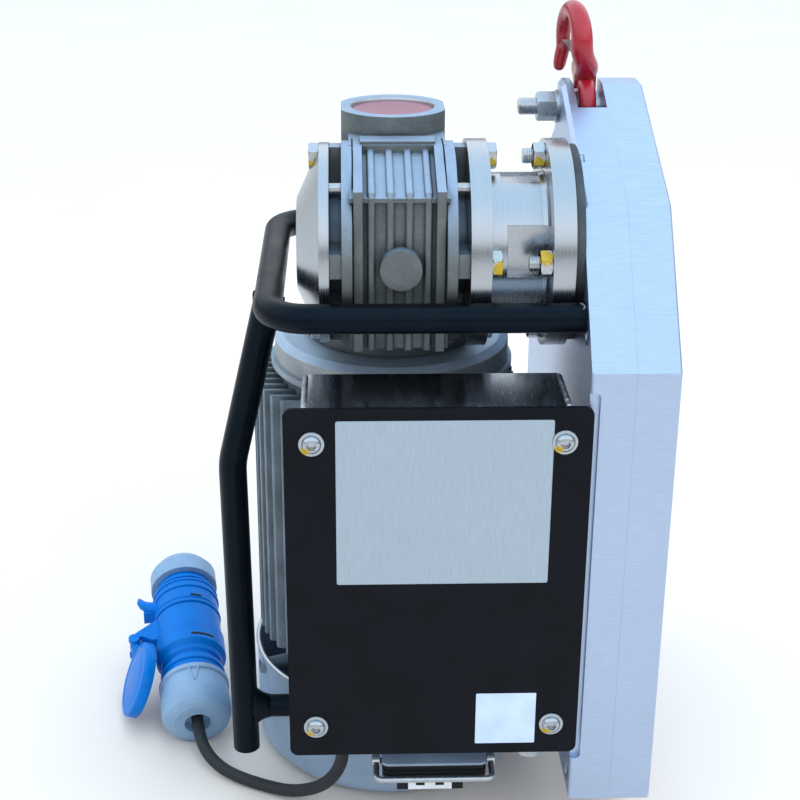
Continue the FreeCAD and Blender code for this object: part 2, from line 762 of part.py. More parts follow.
# Traction drive in the case
parts["sheave_axle"] = cylinder("X", AXLE, CASE_LEFT + 2, case_right - 2, sheave_y, sheave_z)
groove = ROPE / 2 + 0.2
rim = SHEAVE_PITCH + SHEAVE_RIM
sheave = turned("X", [
    (sheave_left, AXLE + RUN_FIT),
    (sheave_left, AXLE + 16),
    (sheave_left + 4, AXLE + 18),
    (sheave_left + 4, rim - 18),
    (sheave_left, rim - 16),
    (sheave_left, rim),
    (hook_x - groove - 2, rim),
    (hook_x - groove, SHEAVE_PITCH),
    (hook_x - groove / 2, SHEAVE_PITCH - groove),
    (hook_x + groove / 2, SHEAVE_PITCH - groove),
    (hook_x + groove, SHEAVE_PITCH),
    (hook_x + groove + 2, rim),
    (sheave_right, rim),
    (sheave_right, AXLE + 30),
    (gear_left, AXLE + 30),
    (gear_left, AXLE + RUN_FIT),
], sheave_y, sheave_z)
spoke_holes = [
    cylinder("X", 14, sheave_left, sheave_right, sheave_y + p, sheave_z + q)
    for p, q in on_circle(64, 6, 30)
]
parts["traction_sheave"] = cut_all(sheave, spoke_holes)
mesh_turn = math.pi / 2
wheel = gear(GEAR_TEETH, mesh_turn + math.pi / GEAR_TEETH, gear_left, gear_right, sheave_y, sheave_z)
wheel_bore = cylinder("X", AXLE + RUN_FIT, gear_left, gear_right, sheave_y, sheave_z)
wheel_holes = [
    cylinder("X", 16, gear_left, gear_right, sheave_y + p, sheave_z + q)
    for p, q in on_circle(68, 6, 0)
]
parts["driven_gear"] = cut_all(wheel, [wheel_bore] + wheel_holes)
axle_collar = AXLE + 12
parts["axle_collars"] = Part.makeCompound([
    sleeve("X", axle_collar, AXLE + SEAT_FIT, cavity_left, sheave_left - 0.3, sheave_y, sheave_z),
    sleeve("X", axle_collar, AXLE + SEAT_FIT, gear_right + 0.3, cavity_right, sheave_y, sheave_z),
])
pinion = gear(PINION_TEETH, -mesh_turn, gear_left, gear_right, DRIVE_Y, DRIVE_Z)
parts["pinion"] = pinion.cut(cylinder("X", SHAFT + SEAT_FIT, gear_left, gear_right, DRIVE_Y, DRIVE_Z))
parts["output_shaft"] = turned("X", [
    (shaft_start, 0),
    (shaft_start, SHAFT - 1),
    (shaft_start + 1, SHAFT),
    (shaft_end - 1, SHAFT),
    (shaft_end, SHAFT - 1),
    (shaft_end, 0),
], DRIVE_Y, DRIVE_Z)

# Rope guide for the dead end, and the striker round the load line
guide = turned("Z", [
    (case_floor - GUIDE_FLANGE_THICK, GUIDE_BORE + 2.5),
    (case_floor - GUIDE_FLANGE_THICK, GUIDE_FLANGE),
    (case_floor, GUIDE_FLANGE),
    (case_floor, GUIDE_OUTER),
    (case_floor + GUIDE_LONG, GUIDE_OUTER),
    (case_floor + GUIDE_LONG, GUIDE_BORE),
    (case_floor, GUIDE_BORE),
], hook_x, dead_line)
parts["rope_guide"] = guide
striker_low = case_floor - STRIKER_DROP - STRIKER_THICK
striker = turned("Z", [
    (striker_low, GUIDE_BORE),
    (striker_low, STRIKER_FLANGE),
    (striker_low + STRIKER_THICK, STRIKER_FLANGE),
    (striker_low + STRIKER_THICK, GUIDE_OUTER),
    (case_floor + GUIDE_LONG, GUIDE_OUTER),
    (case_floor + GUIDE_LONG, GUIDE_BORE),
], hook_x, load_line)
collar_low = case_floor + CASE_WALL + 0.3
collar_high = collar_low + STRIKER_COLLAR_THICK
collar_half = GUIDE_OUTER + 0.4
collar = sleeve("Z", STRIKER_COLLAR, GUIDE_OUTER - 1, collar_low, collar_high, hook_x, load_line)
flats = block(hook_x - collar_half, hook_x + collar_half, 0, CASE_DEPTH, collar_low, collar_high)
parts["limit_striker"] = fused([striker, collar.common(flats)])

# Pressure arm with its roller
arm_y = load_line + ARM_PIN_BACK
arm_z = sheave_z + ARM_PIN_RISE
roller_y = sheave_y + rim + ROLLER + CLEAR
roller_z = sheave_z
arm_left = hook_x - ROLLER_WIDE / 2 - 0.4 - ARM_SHEET
arm_right = arm_left + ARM_SHEET
parts["arm_pivot"] = cylinder("X", ARM_PIN, CASE_LEFT + 2, case_right - 2, arm_y, arm_z)
along = math.atan2(roller_z - arm_z, roller_y - arm_y)
side_y = -math.sin(along) * ARM_EYE * 0.8
side_z = math.cos(along) * ARM_EYE * 0.8
arm = fused([
    cylinder("X", ARM_EYE, arm_left, arm_right, arm_y, arm_z),
    cylinder("X", ARM_EYE, arm_left, arm_right, roller_y, roller_z),
    side_plate([
        (arm_y + side_y, arm_z + side_z),
        (roller_y + side_y, roller_z + side_z),
        (roller_y - side_y, roller_z - side_z),
        (arm_y - side_y, arm_z - side_z),
    ], arm_left, arm_right),
    cylinder("X", ROLLER_PIN, arm_left, arm_right + ROLLER_WIDE + 3, roller_y, roller_z),
])
parts["pressure_arm"] = arm.cut(cylinder("X", ARM_PIN + RUN_FIT, arm_left, arm_right, arm_y, arm_z))
roller_left = hook_x - ROLLER_WIDE / 2
parts["pressure_roller"] = sleeve(
    "X", ROLLER, ROLLER_PIN + RUN_FIT, roller_left, roller_left + ROLLER_WIDE, roller_y, roller_z
)

# Gearbox housing: ribbed casting with lantern windows at both ends, worm column and foot
rail_front = DRIVE_Y - BODY_FRONT
lintel = DRIVE_Y - LINTEL_FRONT
body_low = DRIVE_Z - BODY_BOTTOM
body_high = DRIVE_Z + BODY_TOP
shoulder = DRIVE_Z + RECESS_SHOULDER
section = [
    (rail_front + RECESS, body_low),
    (rail_front + RECESS, shoulder - RECESS_LIP),
    (rail_front + RECESS - RECESS_LIP, shoulder - RECESS_LIP + 1),
    (rail_front + RECESS - RECESS_LIP, shoulder),
    (lintel, body_high - RECESS_DROP),
    (lintel, body_high),
    (motor_y, body_high),
    (motor_y, body_low),
]
rail_section = [
    (rail_front, body_low),
    (rail_front, DRIVE_Z + BODY_SHOULDER),
    (lintel - 3, body_high),
    (motor_y, body_high),
    (motor_y, body_low),
]
rib_front = rail_front + RECESS - RIB_PROUD
rib_section = [
    (rib_front, body_low),
    (rib_front, shoulder),
    (rib_front + 2, shoulder + 3.5),
    (lintel, body_high - RECESS_DROP + 2.5),
    (lintel, body_low),
]
casting = [side_plate(section, body_left + RIM_RING_WIDE - 2, body_right - RIM_RING_WIDE + 2)]
rail_left = body_left + RIM_RING_WIDE + PARTING
rail_right = body_right - RIM_RING_WIDE - PARTING
casting.append(side_plate(rail_section, rail_left, rail_left + RAIL_WIDE))
casting.append(side_plate(rail_section, rail_right - RAIL_WIDE, rail_right))
for i in range(RIB_COUNT):
    middle = MOTOR_X + RIB_MID_SHIFT + RIB_SPAN * (i / (RIB_COUNT - 1) - 0.5)
    rib = side_plate(rib_section, middle - RIB_WIDE / 2, middle + RIB_WIDE / 2)
    rib = softened(
        rib, RIB_ROUND,
        lambda e: e.BoundBox.XLength < 0.01
        and e.BoundBox.YMin < lintel - 1
        and e.BoundBox.ZMax > body_low + 1,
    )
    casting.append(rib)
casting.append(
    block(
        rail_left + RAIL_WIDE - 1, rail_right - RAIL_WIDE + 1, lintel + PAD_PLATE_FRONT - 3,
        lintel + PAD_PLATE_FRONT - 3 + PAD_PLATE_DEEP, body_high - 1, body_high + PAD_PLATE_HIGH,
    )
)
for edge in (body_left, body_right - RIM_RING_WIDE):
    casting.append(cylinder("X", RIM_RING, edge, edge + RIM_RING_WIDE, DRIVE_Y, DRIVE_Z))
boss_z = DRIVE_Z + BOSS_RISE
boss_front = DRIVE_Y - BODY_FRONT - BOSS_PROUD
casting.append(cylinder("Y", BOSS, boss_front, DRIVE_Y - WHEEL_CAVITY, MOTOR_X + BOSS_SHIFT, boss_z))
for x0, x1 in ((cap_face, body_left), (body_right, output_face)):
    casting.append(cylinder("X", WINDOW_HUB, x0, x1, DRIVE_Y, DRIVE_Z))
    for p, q in on_circle(1.0, WEB_COUNT, FLANGE_TURN):
        web = block(x0, x1, 0, CAP_PLATE - 1, -WEB_WIDE / 2, WEB_WIDE / 2)
        web.rotate(V(0, 0, 0), V(1, 0, 0), math.degrees(math.atan2(q, p)))
        web.translate(V(0, DRIVE_Y, DRIVE_Z))
        casting.append(web)
column = cylinder("Z", COLUMN, shield_top, COLLAR_TOP, MOTOR_X, motor_y)
flats = block(
    MOTOR_X - COLLAR_FLATS, MOTOR_X + COLLAR_FLATS, motor_y - 60, motor_y + 60, shield_top, COLLAR_TOP
)
casting.append(column.common(flats))
casting.append(cylinder("Z", FOOT, shield_top, shield_top + FOOT_THICK, MOTOR_X, motor_y))
solid = fused(casting)
hollows = [
    cylinder("X", WHEEL_CAVITY, MOTOR_X - WHEEL_CAVITY_HALF, MOTOR_X + WHEEL_CAVITY_HALF, DRIVE_Y, DRIVE_Z),
    cylinder("X", BEARING + SEAT_FIT, cap_face, output_face, DRIVE_Y, DRIVE_Z),
    cylinder("Z", WORM_BORE, shield_top, collar_ledge, MOTOR_X, motor_y),
    cylinder("Z", worm_bearing_seat + SEAT_FIT, worm_bearing_low, collar_ledge, MOTOR_X, motor_y),
    cylinder("Z", COLLAR_BORE, collar_ledge, COLLAR_TOP, MOTOR_X, motor_y),
]
for p, q in on_circle(FLANGE_BOLTS, 4, FLANGE_TURN):
    y, z = DRIVE_Y + p, DRIVE_Z + q
    hollows.append(cylinder("X", M10 + SEAT_FIT, cap_face, body_left + RIM_RING_WIDE - 0.4, y, z))
    hollows.append(cylinder("X", M10 + SEAT_FIT, body_right - RIM_RING_WIDE + 0.4, output_face, y, z))
for edge in (body_left + RIM_RING_WIDE, rail_right):
    hollows.append(
        block(edge, edge + PARTING, 0, motor_y - COLUMN - 2, body_high - PARTING_DEEP, body_high + 5)
    )
for p, q in on_circle(FOOT - 8, 4, FOOT_TURN):
    foot_hole = cylinder("Z", FOOT_SCREW + 0.2, 0, FOOT_THICK, MOTOR_X + p, motor_y + q)
    foot_hole.translate(V(0, 0, shield_top))
    hollows.append(foot_hole)
parts["gearbox_housing"] = cut_all(solid, hollows)
parts["worm_cap"] = cylinder(
    "Z", COLLAR_BORE - SEAT_FIT, collar_ledge, collar_ledge + CAP_THICK, MOTOR_X, motor_y
)

foot_screws = []
for p, q in on_circle(FOOT - 8, 4, FOOT_TURN):
    head_low = shield_top + FOOT_THICK
    shank = cylinder("Z", FOOT_SCREW, shield_top - FOOT_SCREW_DEEP, head_low, MOTOR_X + p, motor_y + q)
    head = hex_head("Z", FOOT_HEX, head_low, head_low + FOOT_HEAD, MOTOR_X + p, motor_y + q)
    foot_screws.append(fused([shank, head]))
parts["foot_screws"] = Part.makeCompound(foot_screws)

cap_left = cap_face - CAP_FLANGE
cone = turned("X", [
    (cap_left - CONE_LONG, 0),
    (cap_left - CONE_LONG, CONE_SMALL),
    (cap_left, CAP_PLATE - 3),
    (cap_left, CAP_PLATE),
    (cap_face, CAP_PLATE),
    (cap_face, 0),
], DRIVE_Y, DRIVE_Z)
cap_holes = [
    cylinder("X", M10 + 0.2, cap_left - CONE_LONG, cap_face, DRIVE_Y + p, DRIVE_Z + q)
    for p, q in on_circle(FLANGE_BOLTS, 4, FLANGE_TURN)
]
cap_spots = [
    cylinder("X", HEX_M10 * 0.64, cap_left - CONE_LONG, cap_left, DRIVE_Y + p, DRIVE_Z + q)
    for p, q in on_circle(FLANGE_BOLTS, 4, FLANGE_TURN)
]
parts["gearbox_cap"] = cut_all(cone, cap_holes + cap_spots)

flange_disc = cylinder("X", FLANGE, output_face, output_right, DRIVE_Y, DRIVE_Z)
flange_tools = [cylinder("X", SHAFT + 6, output_face, output_right, DRIVE_Y, DRIVE_Z)]
for p, q in on_circle(FLANGE_BOLTS, 4, FLANGE_TURN):
    flange_tools.append(cylinder("X", M10 + 0.2, output_face, output_right, DRIVE_Y + p, DRIVE_Z + q))
parts["output_flange"] = cut_all(flange_disc, flange_tools)

bell = turned("X", [
    (output_right, BELL_BORE),
    (output_right, BELL_NECK),
    (bell_left - 2 * BELL_FLARE, BELL_NECK),
    (bell_left - 0.6 * BELL_FLARE, BELL_NECK + 0.4 * BELL_FLARE),
    (bell_left, BELL_NECK + BELL_FLARE),
    (bell_left, FLANGE),
    (bell_right, FLANGE),
    (bell_right, BELL_SPIGOT_RADIUS),
    (CASE_LEFT, BELL_SPIGOT_RADIUS),
    (CASE_LEFT, BELL_BORE),
], DRIVE_Y, DRIVE_Z)
window = block(
    bell_left - BELL_WINDOW, bell_left, DRIVE_Y - FLANGE, DRIVE_Y - BELL_WINDOW_FLOOR,
    DRIVE_Z - BELL_WINDOW_LOW, DRIVE_Z + BELL_WINDOW_HIGH,
)
flat = block(
    output_right + 10, bell_left - 4, DRIVE_Y - FLANGE,
    DRIVE_Y + 8, DRIVE_Z + BELL_NECK - BELL_FLAT, DRIVE_Z + FLANGE,
)
bell_tools = [window, flat]
for p, q in on_circle(FLANGE_BOLTS, 4, FLANGE_TURN):
    bell_tools.append(cylinder("X", M10 + 0.2, bell_left, CASE_LEFT, DRIVE_Y + p, DRIVE_Z + q))
parts["drive_bell"] = cut_all(bell, bell_tools)

gearbox_screws = []
studs = []
for p, q in on_circle(FLANGE_BOLTS, 4, FLANGE_TURN):
    y, z = DRIVE_Y + p, DRIVE_Z + q
    head = hex_head("X", HEX_M10, cap_left - HEAD_M10, cap_left, y, z)
    shank = cylinder("X", M10, cap_left, body_left + RIM_RING_WIDE - 0.8, y, z)
    gearbox_screws.append(fused([head, shank]))
    head = hex_head("X", HEX_M10, output_right, output_right + HEAD_M10, y, z)
    shank = cylinder("X", M10, body_right - RIM_RING_WIDE + 0.8, output_right, y, z)
    gearbox_screws.append(fused([head, shank]))
    nut = hex_head("X", HEX_M10, bell_left - HEAD_M10 - 1, bell_left, y, z)
    studs.append(
        fused([nut, cylinder("X", M10, bell_left - HEAD_M10 - 1 - STUD_TAIL, CASE_LEFT + 6, y, z)])
    )
parts["gearbox_screws"] = Part.makeCompound(gearbox_screws)
parts["bell_studs"] = Part.makeCompound(studs)
window_studs = []
for p, q in on_circle(FLANGE_BOLTS, 4, STUD_TURN):
    window_studs.append(cylinder("X", 3.5, cap_face, body_left, DRIVE_Y + p, DRIVE_Z + q))
    window_studs.append(cylinder("X", 3.5, body_right, output_face, DRIVE_Y + p, DRIVE_Z + q))
parts["window_studs"] = Part.makeCompound(window_studs)

output_bearings = []
for start in (bearing_left, bearing_right):
    output_bearings.append(
        sleeve("X", BEARING, SHAFT + RUN_FIT, start, start + BEARING_WIDE, DRIVE_Y, DRIVE_Z)
    )
parts["output_bearings"] = Part.makeCompound(output_bearings)
wheel_tip = WORM_OFFSET - WORM - CLEAR
worm_wheel = turned("X", [
    (MOTOR_X - WHEEL_FACE / 2, SHAFT + SEAT_FIT),
    (MOTOR_X - WHEEL_FACE / 2, WHEEL_HUB),
    (MOTOR_X - WHEEL_FACE / 2 + 5, WHEEL_HUB + 2),
    (MOTOR_X - WHEEL_FACE / 2 + 5, wheel_tip),
    (MOTOR_X + WHEEL_FACE / 2 - 5, wheel_tip),
    (MOTOR_X + WHEEL_FACE / 2 - 5, WHEEL_HUB + 2),
    (MOTOR_X + WHEEL_FACE / 2, WHEEL_HUB),
    (MOTOR_X + WHEEL_FACE / 2, SHAFT + SEAT_FIT),
], DRIVE_Y, DRIVE_Z)
gaps = []
for i in range(WHEEL_TEETH):
    gap = block(MOTOR_X - WHEEL_FACE, MOTOR_X + WHEEL_FACE, wheel_tip - 4.5, wheel_tip + 2, -2, 2)
    gap.rotate(V(0, 0, 0), V(1, 0, 0), 360.0 * i / WHEEL_TEETH)
    gap.translate(V(0, DRIVE_Y, DRIVE_Z))
    gaps.append(gap)
parts["worm_wheel"] = cut_all(worm_wheel, gaps)

# Motor: shields, finned housing, stator, rotor with worm shaft, fan and cowl
shield_low = shield_top - SHIELD_HIGH
shaft_bearing_low = shield_top - BEARING_WIDE - 4
shield = turned("Z", [
    (shield_low, CORE - CORE_WALL),
    (shield_low, CORE + 2),
    (shield_low + SHIELD_LIP, SHIELD + 3),
    (shield_low + 2 * SHIELD_LIP, SHIELD + 3),
    (shield_low + 2 * SHIELD_LIP, SHIELD),
    (shield_top - 4, SHIELD),
    (shield_top, SHIELD - 6),
    (shield_top, ROTOR_SHAFT + 1),
    (shaft_bearing_low + BEARING_WIDE, ROTOR_SHAFT + 1),
    (shaft_bearing_low + BEARING_WIDE, worm_bearing_seat + SEAT_FIT),
    (shaft_bearing_low, worm_bearing_seat + SEAT_FIT),
    (shaft_bearing_low, worm_bearing_seat + 8),
    (shield_top - 9, worm_bearing_seat + 12),
    (shield_top - 9, CORE - CORE_WALL),
], MOTOR_X, motor_y)
shield_tools = []
for p, q in on_circle(FOOT - 8, 4, FOOT_TURN):
    thread_low = shield_top - FOOT_SCREW_DEEP - 1
    shield_tools.append(
        cylinder("Z", FOOT_SCREW + SEAT_FIT, thread_low, shield_top, MOTOR_X + p, motor_y + q)
    )
parts["motor_end_shield"] = cut_all(shield, shield_tools)

fin_low = HOUSING_BOTTOM + FIN_FOOT_GAP
fin_high = shield_low - FIN_END_GAP
core = cylinder("Z", CORE, HOUSING_BOTTOM, shield_low, MOTOR_X, motor_y)
fin_blocks = []
fin_rows = int(FIN_TIP * 0.7 / FIN_PITCH)
for i in range(-fin_rows, fin_rows + 1):
    place = i * FIN_PITCH
    fin_blocks.append(
        block(
            MOTOR_X - FIN_TIP, MOTOR_X + FIN_TIP, motor_y + place - FIN_THICK / 2,
            motor_y + place + FIN_THICK / 2, fin_low, fin_high,
        )
    )
    fin_blocks.append(
        block(
            MOTOR_X + place - FIN_THICK / 2, MOTOR_X + place + FIN_THICK / 2, motor_y,
            motor_y + FIN_TIP, fin_low, fin_high,
        )
    )
fin_room = cylinder("Z", FIN_TIP, fin_low, fin_high, MOTOR_X, motor_y)
case_side = MOTOR_X + FIN_CASE_SIDE
fin_room = fin_room.cut(block(case_side, case_side + FIN_TIP, 0, CASE_DEPTH, fin_low, fin_high))
fins = fused(fin_blocks).common(fin_room)
pad = block(MOTOR_X - PAD_HALF, MOTOR_X + PAD_HALF, BOX_DEEP, motor_y, PAD_LIFT, PAD_LIFT + PAD_HIGH)
housing = fused([core, fins, pad])
parts["motor_housing"] = housing.cut(
    cylinder("Z", CORE - CORE_WALL, HOUSING_BOTTOM, shield_low, MOTOR_X, motor_y)
)

stator_low = (HOUSING_BOTTOM + shield_low - STATOR_HIGH) / 2
parts["stator"] = sleeve(
    "Z", CORE - CORE_WALL - SEAT_FIT, STATOR_BORE, stator_low, stator_low + STATOR_HIGH, MOTOR_X, motor_y
)
parts["rotor_core"] = sleeve(
    "Z", STATOR_BORE - AIR_GAP, ROTOR_SHAFT + SEAT_FIT,
    stator_low, stator_low + STATOR_HIGH, MOTOR_X, motor_y,
)
nde_low = HOUSING_BOTTOM - NDE_HIGH
nde_bearing_low = HOUSING_BOTTOM - BEARING_WIDE - 2
worm_low = DRIVE_Z - WORM_LONG / 2
worm_high = DRIVE_Z + WORM_LONG / 2
shaft_profile = [
    (FAN_LIFT - 4, 0),
    (FAN_LIFT - 4, ROTOR_SHAFT),
    (worm_low - 8, ROTOR_SHAFT),
    (worm_low, WORM - 4),
]
threads = int(WORM_LONG / WORM_PITCH)
for i in range(threads):
    foot = worm_low + i * WORM_LONG / threads
    shaft_profile.append((foot + 0.2 * WORM_LONG / threads, WORM - 4))
    shaft_profile.append((foot + 0.4 * WORM_LONG / threads, WORM))
    shaft_profile.append((foot + 0.7 * WORM_LONG / threads, WORM))
    shaft_profile.append((foot + 0.9 * WORM_LONG / threads, WORM - 4))
shaft_profile.append((worm_high, WORM - 4))
shaft_profile.append((worm_high + 4, ROTOR_SHAFT - 2))
shaft_profile.append((collar_ledge - 1, ROTOR_SHAFT - 2))
shaft_profile.append((collar_ledge - 1, 0))
parts["rotor_shaft"] = turned("Z", shaft_profile, MOTOR_X, motor_y)
parts["shaft_bearings"] = Part.makeCompound([
    sleeve(
        "Z", worm_bearing_seat, ROTOR_SHAFT - 2 + RUN_FIT,
        worm_bearing_low, worm_bearing_low + BEARING_WIDE, MOTOR_X, motor_y,
    ),
    sleeve(
        "Z", worm_bearing_seat, ROTOR_SHAFT + RUN_FIT,
        shaft_bearing_low, shaft_bearing_low + BEARING_WIDE, MOTOR_X, motor_y,
    ),
    sleeve(
        "Z", worm_bearing_seat, ROTOR_SHAFT + RUN_FIT,
        nde_bearing_low, nde_bearing_low + BEARING_WIDE, MOTOR_X, motor_y,
    ),
])
nde = turned("Z", [
    (nde_low, ROTOR_SHAFT + 1),
    (nde_low, CORE - 8),
    (nde_low + 6, CORE),
    (HOUSING_BOTTOM, CORE),
    (HOUSING_BOTTOM, CORE - CORE_WALL),
    (nde_low + 8, CORE - CORE_WALL - 4),
    (nde_low + 8, worm_bearing_seat + 8),
    (nde_bearing_low + BEARING_WIDE, worm_bearing_seat + 6),
    (nde_bearing_low + BEARING_WIDE, worm_bearing_seat + SEAT_FIT),
    (nde_bearing_low, worm_bearing_seat + SEAT_FIT),
    (nde_bearing_low, ROTOR_SHAFT + 1),
], MOTOR_X, motor_y)
lug_z = COWL_HIGH - 9
cowl_turns = [COWL_SCREW_TURN + 90 * i for i in range(4)]
lug_reach = COWL - COWL_SHEET - SEAT_FIT
lugs = []
for turn in cowl_turns:
    lug = Part.makeCylinder(6.0, lug_reach - CORE + 6, V(CORE - 6, 0, lug_z), V(1, 0, 0))
    lug = lug.common(cylinder("Z", lug_reach, 0, shield_top, 0, 0))
    lug.rotate(V(0, 0, 0), V(0, 0, 1), turn)
    lug.translate(V(MOTOR_X, motor_y, 0))
    lugs.append(lug)
lower_shield = fused([nde] + lugs)
cowl_screws = []
screw_holes = []
cowl_holes = []
for turn in cowl_turns:
    head = Part.makeCylinder(COWL_SCREW * 1.9, 2.6, V(COWL + 0.05, 0, lug_z), V(1, 0, 0))
    shank = Part.makeCylinder(COWL_SCREW, 14, V(COWL - 12, 0, lug_z), V(1, 0, 0))
    hole = Part.makeCylinder(COWL_SCREW + SEAT_FIT, 14, V(COWL - 13, 0, lug_z), V(1, 0, 0))
    wide = Part.makeCylinder(COWL_SCREW + 0.3, 8, V(COWL - 5, 0, lug_z), V(1, 0, 0))
    for shape, kept in ((fused([head, shank]), cowl_screws), (hole, screw_holes), (wide, cowl_holes)):
        shape.rotate(V(0, 0, 0), V(0, 0, 1), turn)
        shape.translate(V(MOTOR_X, motor_y, 0))
        kept.append(shape)
parts["motor_lower_shield"] = cut_all(lower_shield, screw_holes)
parts["cowl_screws"] = Part.makeCompound(cowl_screws)

cup = cylinder("Z", COWL, 0, COWL_HIGH, MOTOR_X, motor_y)
cup = softened(cup, COWL_ROUND, lambda e: e.Closed and e.BoundBox.ZMax < 0.01)
room = cylinder("Z", COWL - COWL_SHEET, COWL_SHEET, COWL_HIGH, MOTOR_X, motor_y)
room = softened(room, COWL_ROUND - COWL_SHEET, lambda e: e.Closed and e.BoundBox.ZMax < COWL_SHEET + 0.01)
cowl = cup.cut(room)
spokes = []
for i in range(3):
    spoke = block(-COWL, COWL, -COWL_SPOKE / 2, COWL_SPOKE / 2, -1, COWL_SHEET + 1)
    spoke.rotate(V(0, 0, 0), V(0, 0, 1), 60 * i)
    spoke.translate(V(MOTOR_X, motor_y, 0))
    spokes.append(spoke)
slots = []
slot_inner = FAN_HUB + 8
while slot_inner + COWL_SLOT < COWL - COWL_ROUND - 4:
    slots.append(sleeve("Z", slot_inner + COWL_SLOT, slot_inner, -1, COWL_SHEET + 1, MOTOR_X, motor_y))
    slot_inner += 2 * COWL_SLOT
grille = Part.makeCompound(slots).cut(Part.makeCompound(spokes))
parts["fan_cowl"] = cut_all(cowl, [grille] + cowl_holes)

fan_hub = cylinder("Z", FAN_HUB, FAN_LIFT, FAN_LIFT + FAN_HIGH + 4, MOTOR_X, motor_y)
fan_plate = cylinder("Z", FAN * 0.72, FAN_LIFT + FAN_HIGH, FAN_LIFT + FAN_HIGH + 3, MOTOR_X, motor_y)
blades = []
for i in range(FAN_BLADES):
    blade = block(FAN_HUB - 2, FAN, -FAN_SHEET / 2, FAN_SHEET / 2, FAN_LIFT, FAN_LIFT + FAN_HIGH + 1)
    blade.rotate(V(0, 0, 0), V(0, 0, 1), 360.0 * i / FAN_BLADES)
    blade.translate(V(MOTOR_X, motor_y, 0))
    blades.append(blade)
fan_bore = cylinder("Z", ROTOR_SHAFT + SEAT_FIT, FAN_LIFT, FAN_LIFT + FAN_HIGH + 4, MOTOR_X, motor_y)
parts["fan"] = fused([fan_hub, fan_plate] + blades).cut(fan_bore)

# Electrical box: welded sheet box, cover, screws and fittings
box = block(box_left, box_right, 0, BOX_DEEP, BOX_LOW, box_high)
box = softened(box, 3.0, lambda e: abs(e.Length - BOX_DEEP) < 0.01)
inside = block(
    box_left + BOX_SHEET, box_right - BOX_SHEET, BOX_SHEET,
    BOX_DEEP - BOX_SHEET, BOX_LOW + BOX_SHEET, box_high - BOX_SHEET,
)
mouth = block(box_left + BOX_RIM, box_right - BOX_RIM, 0, BOX_SHEET, BOX_LOW + BOX_RIM, box_high - BOX_RIM)
cover_places = []
for x in (cover_left + COVER_SCREW_SIDE, cover_right - COVER_SCREW_SIDE):
    for z in (COVER_LOW + COVER_SCREW_END, cover_high - COVER_SCREW_END):
        cover_places.append((x, z))
bosses = [cylinder("Y", COVER_SCREW + 4, 0, COVER_SCREW_LONG + 3, x, z) for x, z in cover_places]
box_body = fused([cut_all(box, [inside, mouth])] + bosses)
box_body = box_body.common(block(box_left, box_right, 0, BOX_DEEP, BOX_LOW, box_high))
box_tools = [cylinder("Y", COVER_SCREW + SEAT_FIT, 0, COVER_SCREW_LONG + 1, x, z) for x, z in cover_places]
box_tools.append(cylinder("Z", CORD + 3, BOX_LOW, BOX_LOW + BOX_SHEET, gland_x, GLAND_Y))
box_tools.append(cylinder("Z", 6.2, BOX_LOW, BOX_LOW + BOX_SHEET, blind_x, BLIND_Y))
parts["control_box"] = cut_all(box_body, box_tools)

cover = block(cover_left, cover_right, -COVER_THICK, 0, COVER_LOW, cover_high)
cover = softened(cover, COVER_ROUND, lambda e: abs(e.Length - COVER_THICK) < 0.01)
cover_holes = [cylinder("Y", COVER_SCREW + 0.2, -COVER_THICK, 0, x, z) for x, z in cover_places]
parts["box_cover"] = cut_all(cover, cover_holes)
cover_screws = []
for x, z in cover_places:
    shank = cylinder("Y", COVER_SCREW, -COVER_THICK, COVER_SCREW_LONG, x, z)
    head = cylinder("Y", COVER_HEAD, -COVER_THICK - COVER_HEAD_HIGH, -COVER_THICK, x, z)
    head = softened(head, COVER_HEAD_HIGH * 0.7, lambda e: e.Closed and e.BoundBox.YMax < -COVER_THICK - 1)
    head_face = -COVER_THICK - COVER_HEAD_HIGH
    socket = cylinder("Y", COVER_SOCKET, head_face, head_face + 2.5, x, z)
    cover_screws.append(fused([head, shank]).cut(socket))
parts["cover_screws"] = Part.makeCompound(cover_screws)

hood_left = hood_mid_x - HOOD_WIDE / 2
hood_right = hood_mid_x + HOOD_WIDE / 2
hood_front = HOOD_MID_Y - HOOD_DEEP / 2
hood_back = HOOD_MID_Y + HOOD_DEEP / 2
hood_low = BOX_LOW - HOOD_HIGH
shoulder_z = BOX_LOW - HOOD_SHOULDER
plate_low = shoulder_z - HOOD_PLATE
plate = block(hood_left, hood_right, hood_front, hood_back, plate_low, shoulder_z)
plate = softened(plate, HOOD_ROUND, lambda e: abs(e.Length - HOOD_PLATE) < 0.01)
neck_left = hood_mid_x - HOOD_NECK_WIDE / 2
neck_right = hood_mid_x + HOOD_NECK_WIDE / 2
neck = block(neck_left, neck_right, hood_front + HOOD_NECK_FRONT, hood_back, shoulder_z, BOX_LOW)
parts["connector_hood"] = fused([plate, neck])
base_high = plate_low - hood_low
rubber = block(hood_left + 0.4, hood_right - 0.4, hood_front + 0.4, hood_back - 0.4, hood_low, plate_low)
rubber = softened(rubber, HOOD_ROUND, lambda e: abs(e.Length - base_high) < 0.01)
core = block(
    hood_left + RIDGE, hood_right - RIDGE, hood_front + RIDGE, hood_back - RIDGE, hood_low, plate_low
)
core = softened(core, HOOD_ROUND - RIDGE, lambda e: abs(e.Length - base_high) < 0.01)
grooves = []
for share in (0.25, 0.6):
    foot = hood_low + base_high * share
    around = block(hood_left - 1, hood_right + 1, hood_front - 1, hood_back + 1, foot, foot + RIDGE)
    grooves.append(around.cut(core))
rubber = cut_all(rubber, grooves)
lever_z = BOX_LOW - LEVER_PIVOT_DROP
pivot_pin = LEVER_WIRE
stubs = [
    cylinder("X", pivot_pin, hood_left - 7, hood_left + 2, HOOD_MID_Y, lever_z),
    cylinder("X", pivot_pin, hood_right - 2, hood_right + 7, HOOD_MID_Y, lever_z),
]
